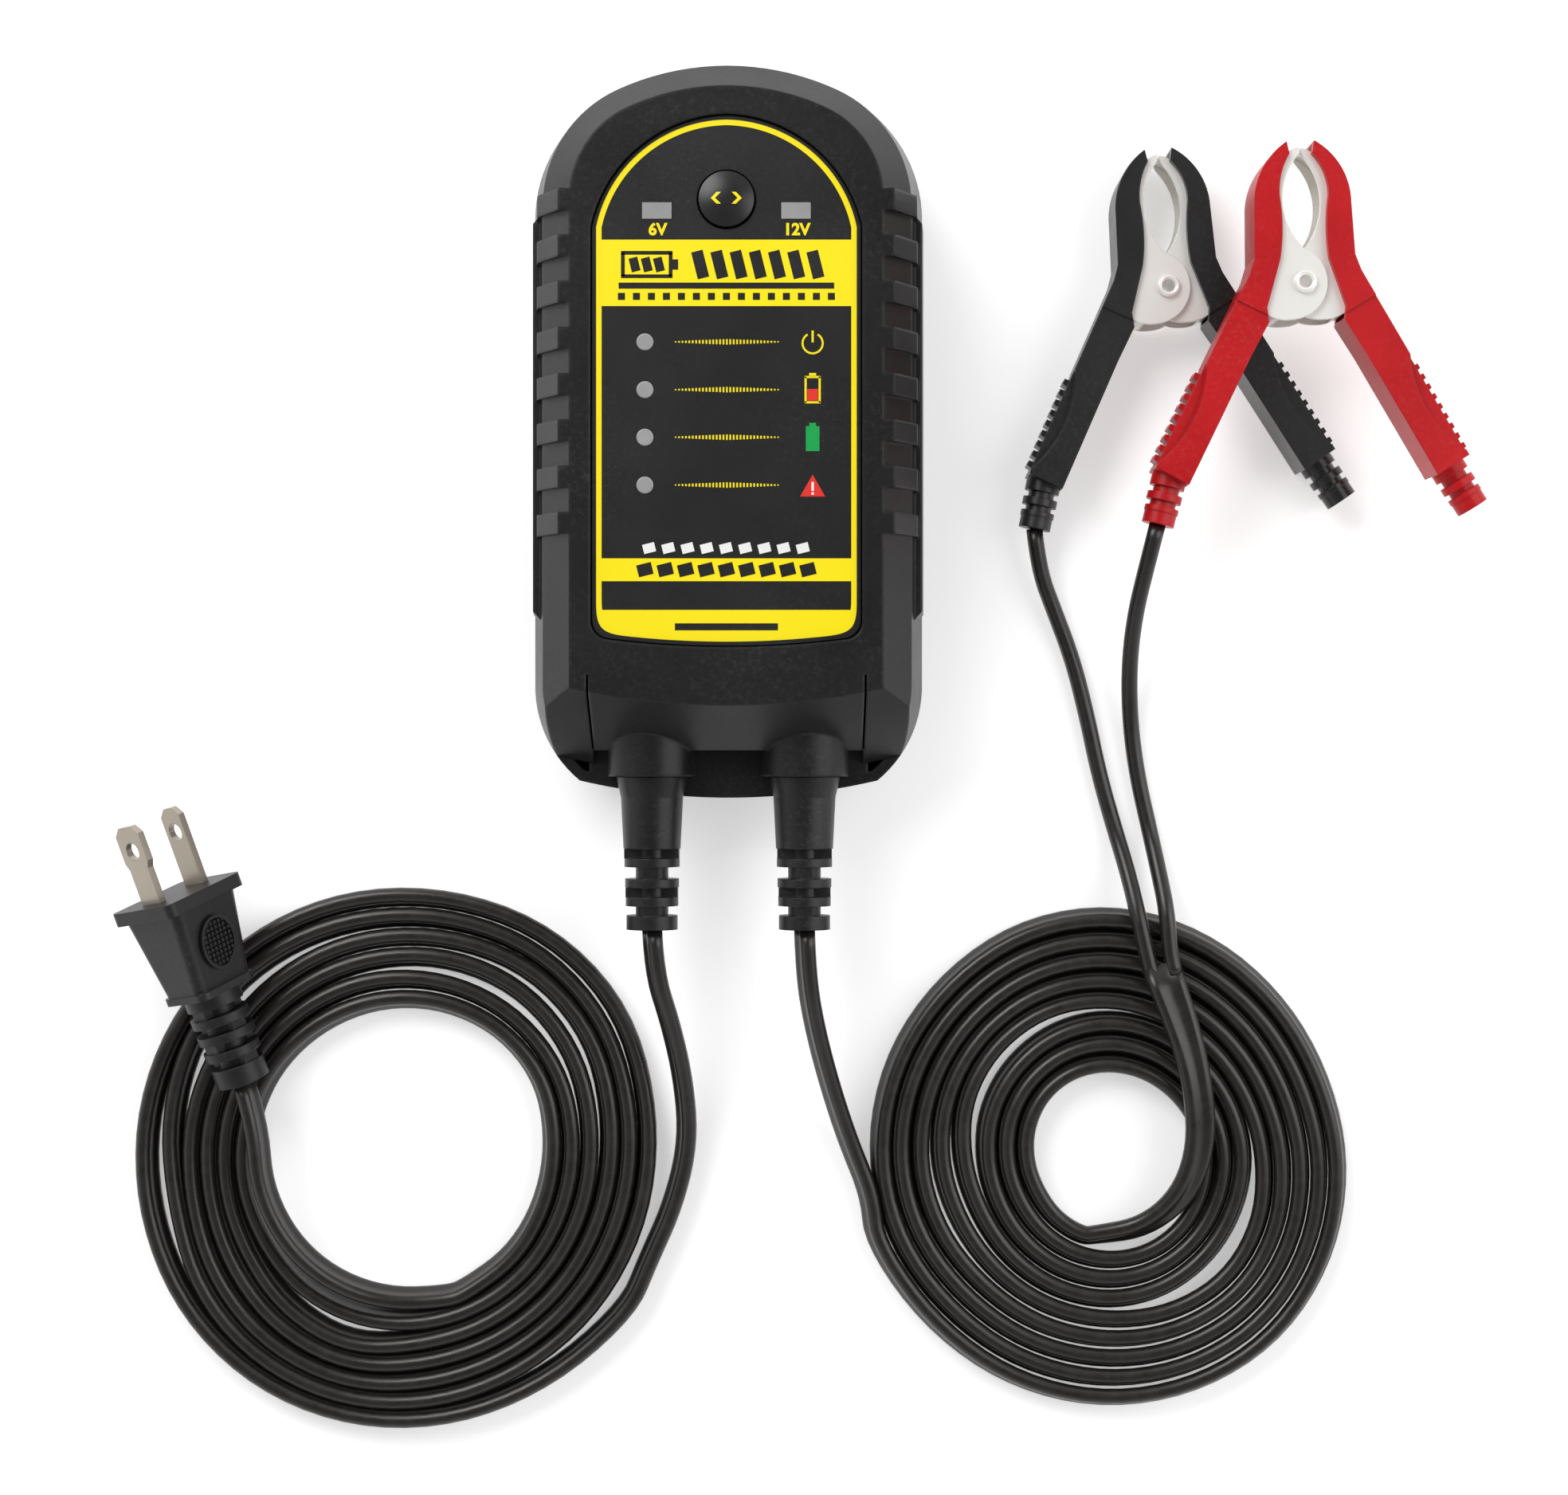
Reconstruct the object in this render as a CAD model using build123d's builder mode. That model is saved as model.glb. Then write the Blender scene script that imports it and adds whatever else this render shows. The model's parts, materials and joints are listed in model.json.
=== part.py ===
"""Car battery charger: hollow two-shell case, mains cord with plug, twin output cord with two clamps.

Millimetres. The case lies on its back: +Z out of the label face, +Y towards the arched end,
origin at the centre of the case's footprint on the surface it rests on.
"""
from build123d import *
from math import acos, cos, degrees, radians, sin, sqrt, tan
import os

os.makedirs("parts", exist_ok=True)

# ---------------------------------------------------------------- case, driving sizes
case_length = 161.6
case_half_width = 42.9
foot_stand = 1.0
split_z = 18.0
shoulder_z = 34.0
face_z = 43.0
wall = 2.4
arch_radius = 60.0
corner_radius = 30.7
corner_start_y = -57.0
corner_bulge = (5.0, -71.75)
corner_end_x = 33.0
corner_end_rise = 3.8
shoulder_inset = 3.0
face_inset = 9.4
base_inset = 1.6
fit_gap = 0.15
seam_lap = 1.2

# label well and plate
well_half_width = 29.0
well_bottom_y = -47.65
well_top_y = 65.5
well_depth = 2.0
well_floor = 2.0
label_thickness = 1.1
label_gap = 0.35
well_arch_rise = 14.0
well_corner = 4.0

# chin, cord hoods and pocket round them
crease_y = -60.6
crease_sag = 6.4
chin_slope = 1.6
hood_x = 16.8
hood_radius = 9.75
hood_wall = 1.6
cord_z = 22.0
hood_front_y = -76.0
hood_back_y = -64.0
pocket_half_width = 29.7
pocket_top_y = -70.3
pocket_bottom_y = -76.8
groove_width = 0.45
groove_depth = 0.5

# ribs and side rails
rib_count = 8
rib_pitch = 9.86
rib_height = 4.6
rib_top_y = 47.3
rib_proud = 1.2
rail_proud = 0.3
rail_draft = 4.0
rail_root = 4.0
rail_slope = 5.0
rail_end_y = -40.3
rail_top_z = 30.0

# button, windows and lenses: places on the label
button_radius = 5.9
button_gap = 0.25
button_y = 47.3
button_travel = 0.6
button_rise = 2.0
window_width = 6.3
window_height = 3.5
window_x = 14.85
window_y = 44.9
lens_radius = 1.85
lens_x = -17.4
lens_rows = (16.9, 6.7, -3.45, -13.65)

# board and what it carries
board_width = 54.0
board_length = 104.0
board_y = 4.0
board_thickness = 1.6
board_top_z = 32.6
screw_x = 32.0
screw_rows = (36.0, -50.0)
screw_radius = 1.4
boss_radius = 3.3
board_hole_x = 23.5
board_hole_rows = (50.0, -42.0)

# strain reliefs
relief_radius = 7.9
relief_end_y = -109.7
relief_core = 3.6
wall_slot_gap = 0.1

# cords
twin_width = 7.0
twin_thickness = 3.5
tube_radius = 2.5
lead_radius = 1.75
coil_height = 7.2

# ---------------------------------------------------------------- case outline
top_y = case_length / 2
bottom_y = -case_length / 2


def outline(inset=0.0, reach=0.0):
    """Case outline: arched top, straight sides, rounded lower corners and a shallow bottom arc."""
    half = case_half_width + reach
    centre_y = top_y - arch_radius
    corner_x = half - corner_radius
    corner_y = centre_y + sqrt((arch_radius - corner_radius) ** 2 - corner_x**2)
    share = arch_radius / (arch_radius - corner_radius)
    join = (corner_x * share, centre_y + (corner_y - centre_y) * share)
    mid_turn = radians(45)
    bend = (corner_x + corner_radius * cos(mid_turn * 0.8), corner_y + corner_radius * sin(mid_turn * 0.8))
    low = bottom_y + corner_end_rise
    bulge_x = half - corner_bulge[0]
    with BuildSketch() as face:
        with BuildLine():
            ThreePointArc((-join[0], join[1]), (0, top_y), join)
            ThreePointArc(join, bend, (half, corner_y))
            Line((half, corner_y), (half, corner_start_y))
            ThreePointArc((half, corner_start_y), (bulge_x, corner_bulge[1]), (corner_end_x, low))
            ThreePointArc((corner_end_x, low), (0, bottom_y), (-corner_end_x, low))
            ThreePointArc((-corner_end_x, low), (-bulge_x, corner_bulge[1]), (-half, corner_start_y))
            Line((-half, corner_start_y), (-half, corner_y))
            ThreePointArc((-half, corner_y), (-bend[0], bend[1]), (-join[0], join[1]))
        make_face()
        if inset > 0:
            offset(amount=-inset, kind=Kind.INTERSECTION)
    return face.sketch


def shell_block(levels, inset):
    """Lofted block through (z, inset) levels, all drawn in by a further inset."""
    with BuildPart() as block:
        for low, high in zip(levels[:-1], levels[1:]):
            with BuildSketch(Plane.XY.offset(low[0])):
                add(outline(low[1] + inset))
            with BuildSketch(Plane.XY.offset(high[0])):
                add(outline(high[1] + inset))
            loft(ruled=True)
    return block.part


def chin_cutter(lift=0.0):
    """Everything in front of the chin, which falls away from a curved crease."""
    drop = 30.0
    far = 60.0
    levels = ((face_z + 5, 5 / chin_slope), (face_z - drop, -drop / chin_slope))
    with BuildPart() as cutter:
        for z, shift in levels:
            edge = crease_y + shift - lift
            with BuildSketch(Plane.XY.offset(z)):
                with BuildLine():
                    ThreePointArc((-far, edge + crease_sag * 1.9), (0, edge), (far, edge + crease_sag * 1.9))
                    Polyline((far, edge + crease_sag * 1.9), (far, edge - 80), (-far, edge - 80),
                             (-far, edge + crease_sag * 1.9))
                make_face()
        loft(ruled=True)
    return cutter.part


def well_outline(gap):
    """Label shape: straight sides, arched top, slightly bowed bottom with rounded corners."""
    half = well_half_width - gap
    low = well_bottom_y + gap
    high = well_top_y - gap
    spring = well_top_y - well_arch_rise - 6
    with BuildSketch() as face:
        with BuildLine():
            ThreePointArc((-half, spring - 4), (-half * 0.74, spring + 10.4 - gap), (0, high))
            ThreePointArc((0, high), (half * 0.74, spring + 10.4 - gap), (half, spring - 4))
            Polyline((half, spring - 4), (half, low + 1.5))
            ThreePointArc((half, low + 1.5), (0, low - 0.6), (-half, low + 1.5))
            Polyline((-half, low + 1.5), (-half, spring - 4))
        make_face()
        fillet(face.vertices().group_by(Axis.Y)[0], well_corner)
    return face.sketch


front_levels = ((split_z, 0.0), (shoulder_z, shoulder_inset), (face_z, face_inset))
ceiling_z = face_z - well_depth - well_floor
inner_levels = ((split_z, 0.0), (shoulder_z, shoulder_inset), (ceiling_z, face_inset * 0.55))

# ---------------------------------------------------------------- shared features
def post(x, y, low, high, radius):
    """Round post between two heights, joined to the part being built."""
    with Locations((x, y, low)):
        Cylinder(radius, high - low, align=(Align.CENTER, Align.CENTER, Align.MIN))


def drill(x, y, low, high, radius):
    """Round hole between two heights."""
    with Locations((x, y, low)):
        Cylinder(radius, high - low, align=(Align.CENTER, Align.CENTER, Align.MIN), mode=Mode.SUBTRACT)


def block(x, y, z, mode=Mode.ADD):
    """Box between pairs of coordinates."""
    with Locations(((x[0] + x[1]) / 2, (y[0] + y[1]) / 2, (z[0] + z[1]) / 2)):
        Box(x[1] - x[0], y[1] - y[0], z[1] - z[0], mode=mode)


def along_cord(x, y_from, y_to, radius, mode=Mode.ADD, end_radius=None):
    """Round or tapered length on a cord's axis, running towards -Y."""
    with Locations(Plane(origin=(x, y_from, cord_z), x_dir=(1, 0, 0), z_dir=(0, -1, 0))):
        if end_radius is None:
            Cylinder(radius, y_from - y_to, align=(Align.CENTER, Align.CENTER, Align.MIN), mode=mode)
        else:
            Cone(radius, end_radius, y_from - y_to, align=(Align.CENTER, Align.CENTER, Align.MIN), mode=mode)


def side_rails(low, high, draft):
    """Raised rails along both side walls, leaning in by the draft."""
    root = case_half_width - rail_root
    crown = case_half_width + rail_proud
    top = rib_top_y + rib_height / 2
    with BuildPart() as rails:
        with BuildSketch(Plane.XY.offset(low)):
            with BuildLine():
                Polyline((-root, top), (-crown, top - rail_slope), (-crown, rail_end_y),
                         (-root, rail_end_y - rail_slope), close=True)
            make_face()
        extrude(amount=high - low, taper=draft)
        mirror(about=Plane.YZ)
    return rails.part


def side_ribs():
    """Rows of square ribs that wrap the sloping flanks."""
    levels = ((split_z, 0.0), (shoulder_z, shoulder_inset - rib_proud), (face_z, face_inset - 2 * rib_proud))
    with BuildPart() as ribs:
        for row in range(rib_count):
            for side in (-1, 1):
                with Locations((side * case_half_width, rib_top_y - row * rib_pitch, face_z)):
                    Box(2 * face_inset + 3, rib_height, 2 * (face_z - split_z))
        add(shell_block(levels, 0), mode=Mode.INTERSECT)
    return ribs.part


def front_hollow():
    """Space inside the front cover, stopping at the chin and behind the pocket wall."""
    with BuildPart() as hollow:
        add(shell_block(inner_levels, wall))
        add(chin_cutter(-1.3 * wall), mode=Mode.SUBTRACT)
        with Locations((0, pocket_top_y - 20 + wall, face_z / 2)):
            Box(2 * (pocket_half_width + wall), 40, face_z, mode=Mode.SUBTRACT)
    return hollow.part


screw_places = [(side * screw_x, y) for side in (-1, 1) for y in screw_rows]
board_holes = [(side * board_hole_x, y) for side in (-1, 1) for y in board_hole_rows]
window_places = [(-window_x, window_y), (window_x, window_y)]
lens_places = [(lens_x, y) for y in lens_rows]
label_top_z = face_z - well_depth + label_thickness
board_low_z = board_top_z - board_thickness
hood_inner_radius = hood_radius - hood_wall
relief_neck = 6.5

# ---------------------------------------------------------------- front cover
with BuildPart() as front_cover:
    add(shell_block(front_levels, 0))
    add(side_ribs())
    add(side_rails(split_z, rail_top_z, rail_draft))
    add(chin_cutter(), mode=Mode.SUBTRACT)
    add(front_hollow(), mode=Mode.SUBTRACT)
    for x, y in screw_places:
        post(x, y, split_z, ceiling_z + 0.5, boss_radius)
    for x, y in board_holes:
        post(x, y, board_top_z, ceiling_z + 0.5, boss_radius - 0.4)
    # pocket and the two hoods over the cord exits
    block((-pocket_half_width, pocket_half_width), (pocket_bottom_y - 4, pocket_top_y),
          (split_z - 1, face_z), mode=Mode.SUBTRACT)
    for side in (-1, 1):
        along_cord(side * hood_x, hood_back_y, hood_front_y, hood_radius)
    block((-case_half_width, case_half_width), (hood_front_y - 1, hood_back_y + 5), (0, split_z),
          mode=Mode.SUBTRACT)
    for side in (-1, 1):
        x = side * hood_x
        block((x - hood_radius, x + hood_radius), (hood_front_y, pocket_top_y), (split_z, cord_z))
        along_cord(x, hood_back_y + 6, hood_front_y + hood_wall, hood_inner_radius, mode=Mode.SUBTRACT)
        block((x - hood_inner_radius, x + hood_inner_radius), (hood_front_y + hood_wall, hood_back_y + 6),
              (split_z, cord_z), mode=Mode.SUBTRACT)
        reach = relief_neck + wall_slot_gap
        along_cord(x, hood_back_y, hood_front_y - 1, reach, mode=Mode.SUBTRACT)
        block((x - reach, x + reach), (hood_front_y - 1, hood_front_y + 3), (split_z, cord_z),
              mode=Mode.SUBTRACT)
    # seams from the label corners to the hoods
    for side in (-1, 1):
        x = side * pocket_half_width
        block((x - groove_width / 2, x + groove_width / 2), (pocket_top_y, crease_y + 6.5),
              (face_z - 20, face_z + 1), mode=Mode.SUBTRACT)
    # label well and the holes through it
    with BuildSketch(Plane.XY.offset(face_z - well_depth)):
        add(well_outline(0))
    extrude(amount=well_depth + 1, mode=Mode.SUBTRACT)
    drill(0, button_y, split_z, face_z, button_radius + button_gap)
    for x, y in lens_places:
        drill(x, y, ceiling_z - 1, face_z, lens_radius + 0.1)
    for x, y in window_places:
        block((x - window_width / 2 - 0.1, x + window_width / 2 + 0.1),
              (y - window_height / 2 - 0.1, y + window_height / 2 + 0.1), (ceiling_z - 1, face_z),
              mode=Mode.SUBTRACT)
    # rebate for the back cover's lip, and pilot holes
    with BuildSketch(Plane.XY.offset(split_z)):
        add(outline(wall / 2 - fit_gap))
        add(outline(wall + 1.0), mode=Mode.SUBTRACT)
        with Locations((0, bottom_y)):
            Rectangle(4 * case_half_width, 2 * (hood_back_y - bottom_y + 6), mode=Mode.SUBTRACT)
    extrude(amount=seam_lap + fit_gap, mode=Mode.SUBTRACT)
    for x, y in screw_places:
        drill(x, y, split_z - 1, split_z + 12, screw_radius + 0.02)
    for x, y in board_holes:
        drill(x, y, board_top_z - 1, board_top_z + 5.5, 1.05)


def save(builder, name):
    """Label a finished piece and write its file."""
    builder.part.label = name
    export_step(builder.part, f"parts/{name}.step")


save(front_cover, "front_cover")

# ---------------------------------------------------------------- back cover
back_levels = ((foot_stand, 3.2), (foot_stand + 4, base_inset), (split_z, 0.0))
floor_z = foot_stand + wall
hollow_levels = ((floor_z, 3.0), (floor_z + 3, base_inset), (split_z, 0.0))
head_radius = 2.9
head_low_z = foot_stand + 3.5
head_high_z = head_low_z + 2.2
foot_radius = 5.5
foot_pocket = 0.8
shelf_thick = 2.5
foot_places = [(-29, 52), (29, 52), (-29, -61), (29, -61)]
with BuildPart() as back_cover:
    add(shell_block(back_levels, 0))
    add(side_rails(foot_stand + 5, split_z, 0))
    add(shell_block(hollow_levels, wall), mode=Mode.SUBTRACT)
    for x, y in screw_places:
        post(x, y, floor_z - 1, split_z, boss_radius + 1)
    # shelf under the pocket, with a cradle for each strain relief
    with BuildSketch(Plane.XY.offset(split_z)):
        add(outline(wall / 2))
        with Locations((0, (bottom_y + pocket_top_y + wall) / 2)):
            Rectangle(2 * pocket_half_width + wall, pocket_top_y + wall - bottom_y, mode=Mode.INTERSECT)
    extrude(amount=-shelf_thick)
    with BuildSketch(Plane.XY.offset(split_z)):
        add(outline(wall / 2))
        add(outline(wall), mode=Mode.SUBTRACT)
        with Locations((0, bottom_y)):
            Rectangle(4 * case_half_width, 2 * (hood_back_y - bottom_y + 6), mode=Mode.SUBTRACT)
    extrude(amount=seam_lap)
    for side in (-1, 1):
        along_cord(side * hood_x, hood_back_y + 3, bottom_y - 5, relief_radius + wall_slot_gap,
                   mode=Mode.SUBTRACT)
    for x, y in screw_places:
        drill(x, y, 0, head_high_z, head_radius + 0.3)
        drill(x, y, 0, split_z + 1, screw_radius + 0.2)
    for x, y in foot_places:
        drill(x, y, 0, foot_stand + foot_pocket, foot_radius + 0.05)
save(back_cover, "back_cover")

with BuildPart() as rubber_feet:
    for x, y in foot_places:
        post(x, y, 0, foot_stand + foot_pocket, foot_radius)
    chamfer(rubber_feet.edges().filter_by(GeomType.CIRCLE).group_by(Axis.Z)[0], 0.4)
save(rubber_feet, "rubber_feet")

with BuildPart() as case_screws:
    for x, y in screw_places:
        post(x, y, head_low_z, head_high_z, head_radius)
        post(x, y, head_high_z, split_z + 10, screw_radius)
        block((x - 1.9, x + 1.9), (y - 0.4, y + 0.4), (head_low_z, head_low_z + 1), mode=Mode.SUBTRACT)
        block((x - 0.4, x + 0.4), (y - 1.9, y + 1.9), (head_low_z, head_low_z + 1), mode=Mode.SUBTRACT)
save(case_screws, "case_screws")

# ---------------------------------------------------------------- label, windows and button
with BuildPart() as label_plate:
    with BuildSketch(Plane.XY.offset(face_z - well_depth)):
        add(well_outline(label_gap))
        with Locations((0, button_y)):
            Circle(button_radius + 2 * button_gap, mode=Mode.SUBTRACT)
        with Locations(*lens_places):
            Circle(lens_radius + 0.1, mode=Mode.SUBTRACT)
        with Locations(*window_places):
            Rectangle(window_width + 0.2, window_height + 0.2, mode=Mode.SUBTRACT)
    extrude(amount=label_thickness)
save(label_plate, "label_plate")

lens_flange = 0.7
lens_flange_height = 1.0
for place, name in zip(window_places, ("window_6v", "window_12v")):
    with BuildPart() as window:
        x, y = place
        block((x - window_width / 2, x + window_width / 2), (y - window_height / 2, y + window_height / 2),
              (ceiling_z - lens_flange_height, label_top_z + 0.15))
        block((x - window_width / 2 - lens_flange, x + window_width / 2 + lens_flange),
              (y - window_height / 2 - lens_flange, y + window_height / 2 + lens_flange),
              (ceiling_z - lens_flange_height, ceiling_z))
    save(window, name)

for place, name in zip(lens_places, ("lens_power", "lens_charging", "lens_charged", "lens_fault")):
    with BuildPart() as lens:
        x, y = place
        post(x, y, ceiling_z - lens_flange_height, label_top_z + 0.25, lens_radius)
        post(x, y, ceiling_z - lens_flange_height, ceiling_z, lens_radius + lens_flange)
        fillet(lens.edges().filter_by(GeomType.CIRCLE).group_by(Axis.Z)[-1], 0.35)
    save(lens, name)

flange_top_z = ceiling_z - 0.35
flange_height = 1.2
stem_drop = 0.6
stem_radius = 1.6
dome_rise = 1.1
with BuildPart() as select_button:
    with BuildSketch(Plane.XZ.offset(-button_y)):
        with BuildLine():
            low = flange_top_z - flange_height
            crown = label_top_z + button_rise
            dome_radius = (button_radius**2 + dome_rise**2) / (2 * dome_rise)
            half = acos(1 - dome_rise / dome_radius) / 2
            Polyline((0, crown), (0, low - stem_drop), (stem_radius, low - stem_drop), (stem_radius, low),
                     (button_radius + 1.2, low), (button_radius + 1.2, flange_top_z),
                     (button_radius, flange_top_z), (button_radius, crown - dome_rise))
            ThreePointArc((button_radius, crown - dome_rise),
                          (dome_radius * sin(half), crown - dome_radius * (1 - cos(half))), (0, crown))
        make_face()
    revolve(axis=Axis((0, button_y, 0), (0, 0, 1)))
save(select_button, "select_button")

# ---------------------------------------------------------------- board and its parts
with BuildPart() as circuit_board:
    block((-board_width / 2, board_width / 2), (board_y - board_length / 2, board_y + board_length / 2),
          (board_low_z, board_top_z))
    for x, y in board_holes:
        drill(x, y, board_low_z - 1, board_top_z + 1, 1.15)
save(circuit_board, "circuit_board")

with BuildPart() as board_screws:
    for x, y in board_holes:
        post(x, y, board_low_z - 1.6, board_low_z, 2.1)
        post(x, y, board_low_z, board_top_z + 5, 1.03)
save(board_screws, "board_screws")

stem_low_z = flange_top_z - flange_height - stem_drop
with BuildPart() as tact_switch:
    top = stem_low_z - button_travel - 0.35
    block((-3, 3), (button_y - 3, button_y + 3), (board_top_z, top - 0.5))
    post(0, button_y, top - 0.5, top, 1.7)
save(tact_switch, "tact_switch")

led_top_z = ceiling_z - lens_flange_height - 0.5
with BuildPart() as status_leds:
    for x, y in lens_places + window_places:
        post(x, y, board_top_z, led_top_z, 1.5)
    fillet(status_leds.edges().filter_by(GeomType.CIRCLE).group_by(Axis.Z)[-1], 1.2)
save(status_leds, "status_leds")

core_x = -9.0
core_y = -14.0
core_low_z = board_low_z - 20
with BuildPart() as transformer_core:
    block((core_x - 13, core_x + 13), (core_y - 7, core_y + 7), (core_low_z, board_low_z))
    for side in (-1, 1):
        centre = core_x + side * 6.5
        block((centre - 2.5, centre + 2.5), (core_y - 8, core_y + 8), (core_low_z + 4, board_low_z - 4),
              mode=Mode.SUBTRACT)
save(transformer_core, "transformer_core")

with BuildPart() as transformer_coil:
    block((core_x - 8.8, core_x + 8.8), (core_y - 11, core_y + 11), (core_low_z + 4.2, board_low_z - 4.2))
    block((core_x - 4.1, core_x + 4.1), (core_y - 7.1, core_y + 7.1), (core_low_z, board_low_z),
          mode=Mode.SUBTRACT)
save(transformer_coil, "transformer_coil")

with BuildPart() as mains_capacitor:
    post(-15, 18, board_low_z - 22, board_low_z, 7)
    fillet(mains_capacitor.edges().filter_by(GeomType.CIRCLE).group_by(Axis.Z)[0], 1)
save(mains_capacitor, "mains_capacitor")

with BuildPart() as output_capacitors:
    for y in (24, 34):
        post(14, y, board_low_z - 15, board_low_z, 4)
    fillet(output_capacitors.edges().filter_by(GeomType.CIRCLE).group_by(Axis.Z)[0], 0.8)
save(output_capacitors, "output_capacitors")

with BuildPart() as heat_sink:
    block((9, 25), (-20, -18), (board_low_z - 20, board_low_z))
    for x in (9, 14.5, 20, 23.4):
        block((x, x + 1.6), (-26, -20), (board_low_z - 20, board_low_z))
save(heat_sink, "heat_sink")

with BuildPart() as power_transistor:
    block((12, 22), (-18, -13.4), (board_low_z - 17, board_low_z - 2))
save(power_transistor, "power_transistor")

with BuildPart() as output_relay:
    block((6, 22), (-2, 10), (board_low_z - 14, board_low_z))
    fillet(output_relay.edges().filter_by(Axis.Z), 0.8)
save(output_relay, "output_relay")

with BuildPart() as mains_fuse:
    with Locations(Plane(origin=(-18, -30, board_low_z - 2.7), x_dir=(0, 0, 1), z_dir=(1, 0, 0))):
        Cylinder(2.4, 20)
    for x in (-25.5, -10.5):
        block((x - 2.2, x + 2.2), (-32.7, -27.3), (board_low_z - 5.4, board_low_z))
save(mains_fuse, "mains_fuse")

# ---------------------------------------------------------------- strain reliefs
sleeve_length = 15.8
sleeve_steps = ((0.0, 7.9), (4.5, 6.85), (sleeve_length, 6.3))
grip_stack = (("window", 2.1), ("ring", 1.9), ("neck", 2.6), ("ring", 1.9),
              ("window", 2.1), ("ring", 2.0), ("neck", 2.1), ("ring", 3.1))
for side, name in ((-1, "mains_strain_relief"), (1, "output_strain_relief")):
    x = side * hood_x
    with BuildPart() as relief:
        seat_y = hood_front_y - wall_slot_gap
        along_cord(x, hood_front_y + hood_wall + 3.3, hood_front_y + hood_wall + 0.2, hood_inner_radius - 0.3)
        along_cord(x, hood_front_y + hood_wall + 0.3, seat_y, relief_neck)
        for near, far in zip(sleeve_steps[:-1], sleeve_steps[1:]):
            along_cord(x, seat_y - near[0], seat_y - far[0], near[1], end_radius=far[1])
        y = seat_y - sleeve_length
        along_cord(x, y, relief_end_y, relief_core)
        ring = 6.1
        for kind, length in grip_stack:
            low = y - length if (kind, length) != grip_stack[-1] else relief_end_y
            if kind == "ring":
                along_cord(x, y, low, ring)
                ring -= 0.15
            elif kind == "window":
                block((x - ring + 0.1, x + ring - 0.1), (low, y), (cord_z - 3.0, cord_z + 3.0))
            else:
                block((x - 1.8, x + 1.8), (low, y), (cord_z - ring + 0.3, cord_z + ring - 0.3))
            y = low
    save(relief, name)

# ---------------------------------------------------------------- cords
def route_radii(points):
    """Radius at each corner: 0.45 of the shorter run over the tangent of half the turn."""
    radii = []
    for before, here, after in zip(points[:-2], points[1:-1], points[2:]):
        arrive = Vector(*here) - Vector(*before)
        leave = Vector(*after) - Vector(*here)
        half_turn = radians(arrive.get_angle(leave)) / 2
        radii.append(0.45 * min(arrive.length, leave.length) / tan(half_turn))
    return radii


def cord_tube(name, points, radius):
    """Round tube of straight runs and tangent arcs along a hand-laid route."""
    radii = route_radii(points)
    with BuildPart() as tube:
        with BuildLine():
            path = FilletPolyline(*points, radius=radii)
        with BuildSketch(Plane(origin=path @ 0, z_dir=path % 0)):
            Circle(radius)
        sweep()
    section = 3.14159265 * radius**2
    print(name, "radii", [round(r) for r in radii], "length", round(path.length, 1),
          "volume ratio", round(tube.part.volume / (section * path.length), 4))
    save(tube, name)


mains_lead_route = [
    (-16.8, -109.7, 22.0), (-16.4, -119.5, 20.9), (-13.0, -131.0, 15.5), (-10.3, -144.5, 9.4),
    (-9.4, -159.0, 4.6), (-12.9, -173.5, 3.5), (-18.6, -185.0, 3.5), (-25.5, -195.4, 3.5),
]
mains_end_route = [
    (-64.0, -194.2, 3.6), (-77.5, -194.6, 4.8), (-89.5, -189.6, 8.4), (-98.8, -180.5, 11.4),
    (-104.6, -168.0, 12.9), (-105.3, -154.2, 13.9), (-108.5, -144.0, 13.57),
]
output_lead_route = [
    (16.8, -109.7, 22.0), (17.1, -119.7, 20.9), (19.0, -131.5, 15.6), (22.4, -145.0, 9.6),
    (26.8, -158.8, 4.7), (32.0, -171.5, 3.5), (36.2, -180.6, 3.5),
]
output_end_route = [
    (83.0, -180.2, 3.6), (93.8, -178.3, 5.0), (102.3, -170.6, 8.6), (106.0, -159.2, 10.8),
    (105.3, -146.2, 11.6), (102.0, -132.4, 11.0), (96.8, -118.5, 9.8),
]
black_lead_route = [
    (94.4, -119.4, 9.8), (92.2, -107.4, 10.2), (90.0, -97.6, 5.4), (87.6, -88.6, 2.1), (84.0, -76.0, 1.75),
    (81.2, -62.5, 1.75), (77.9, -49.5, 1.9), (73.6, -38.4, 2.9), (69.9, -29.4, 5.6), (68.8, -20.3, 6.75),
]
red_lead_route = [
    (99.2, -117.6, 9.8), (98.6, -107.0, 10.2), (97.0, -97.4, 5.4), (95.4, -88.4, 2.1), (92.6, -76.0, 1.75),
    (90.9, -63.5, 2.6), (90.2, -51.0, 6.8), (90.8, -39.8, 12.9), (92.8, -29.2, 18.4), (94.8, -20.5, 20.65),
]
cord_tube("mains_cord_lead", mains_lead_route, tube_radius)
cord_tube("mains_cord_end", mains_end_route, tube_radius)
cord_tube("output_cord_lead", output_lead_route, tube_radius)
cord_tube("output_cord_end", output_end_route, tube_radius)
cord_tube("black_lead", black_lead_route, lead_radius)
cord_tube("red_lead", red_lead_route, lead_radius)

# centre, half sizes of the outer edge, centre and half sizes of the open middle
coils = {
    "mains_cord_coil": ((-75.9, -163.2), (58.2, 61.0), (-73.6, -161.3), (31.5, 32.8)),
    "output_cord_coil": ((86.2, -162.9), (53.4, 56.2), (85.7, -161.2), (17.5, 18.3)),
}
for name, (centre, half, hole_centre, hole_half) in coils.items():
    with BuildPart() as coil:
        with BuildSketch():
            with Locations(centre):
                Ellipse(*half)
            with Locations(hole_centre):
                Ellipse(*hole_half, mode=Mode.SUBTRACT)
        extrude(amount=coil_height)
    save(coil, name)

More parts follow.
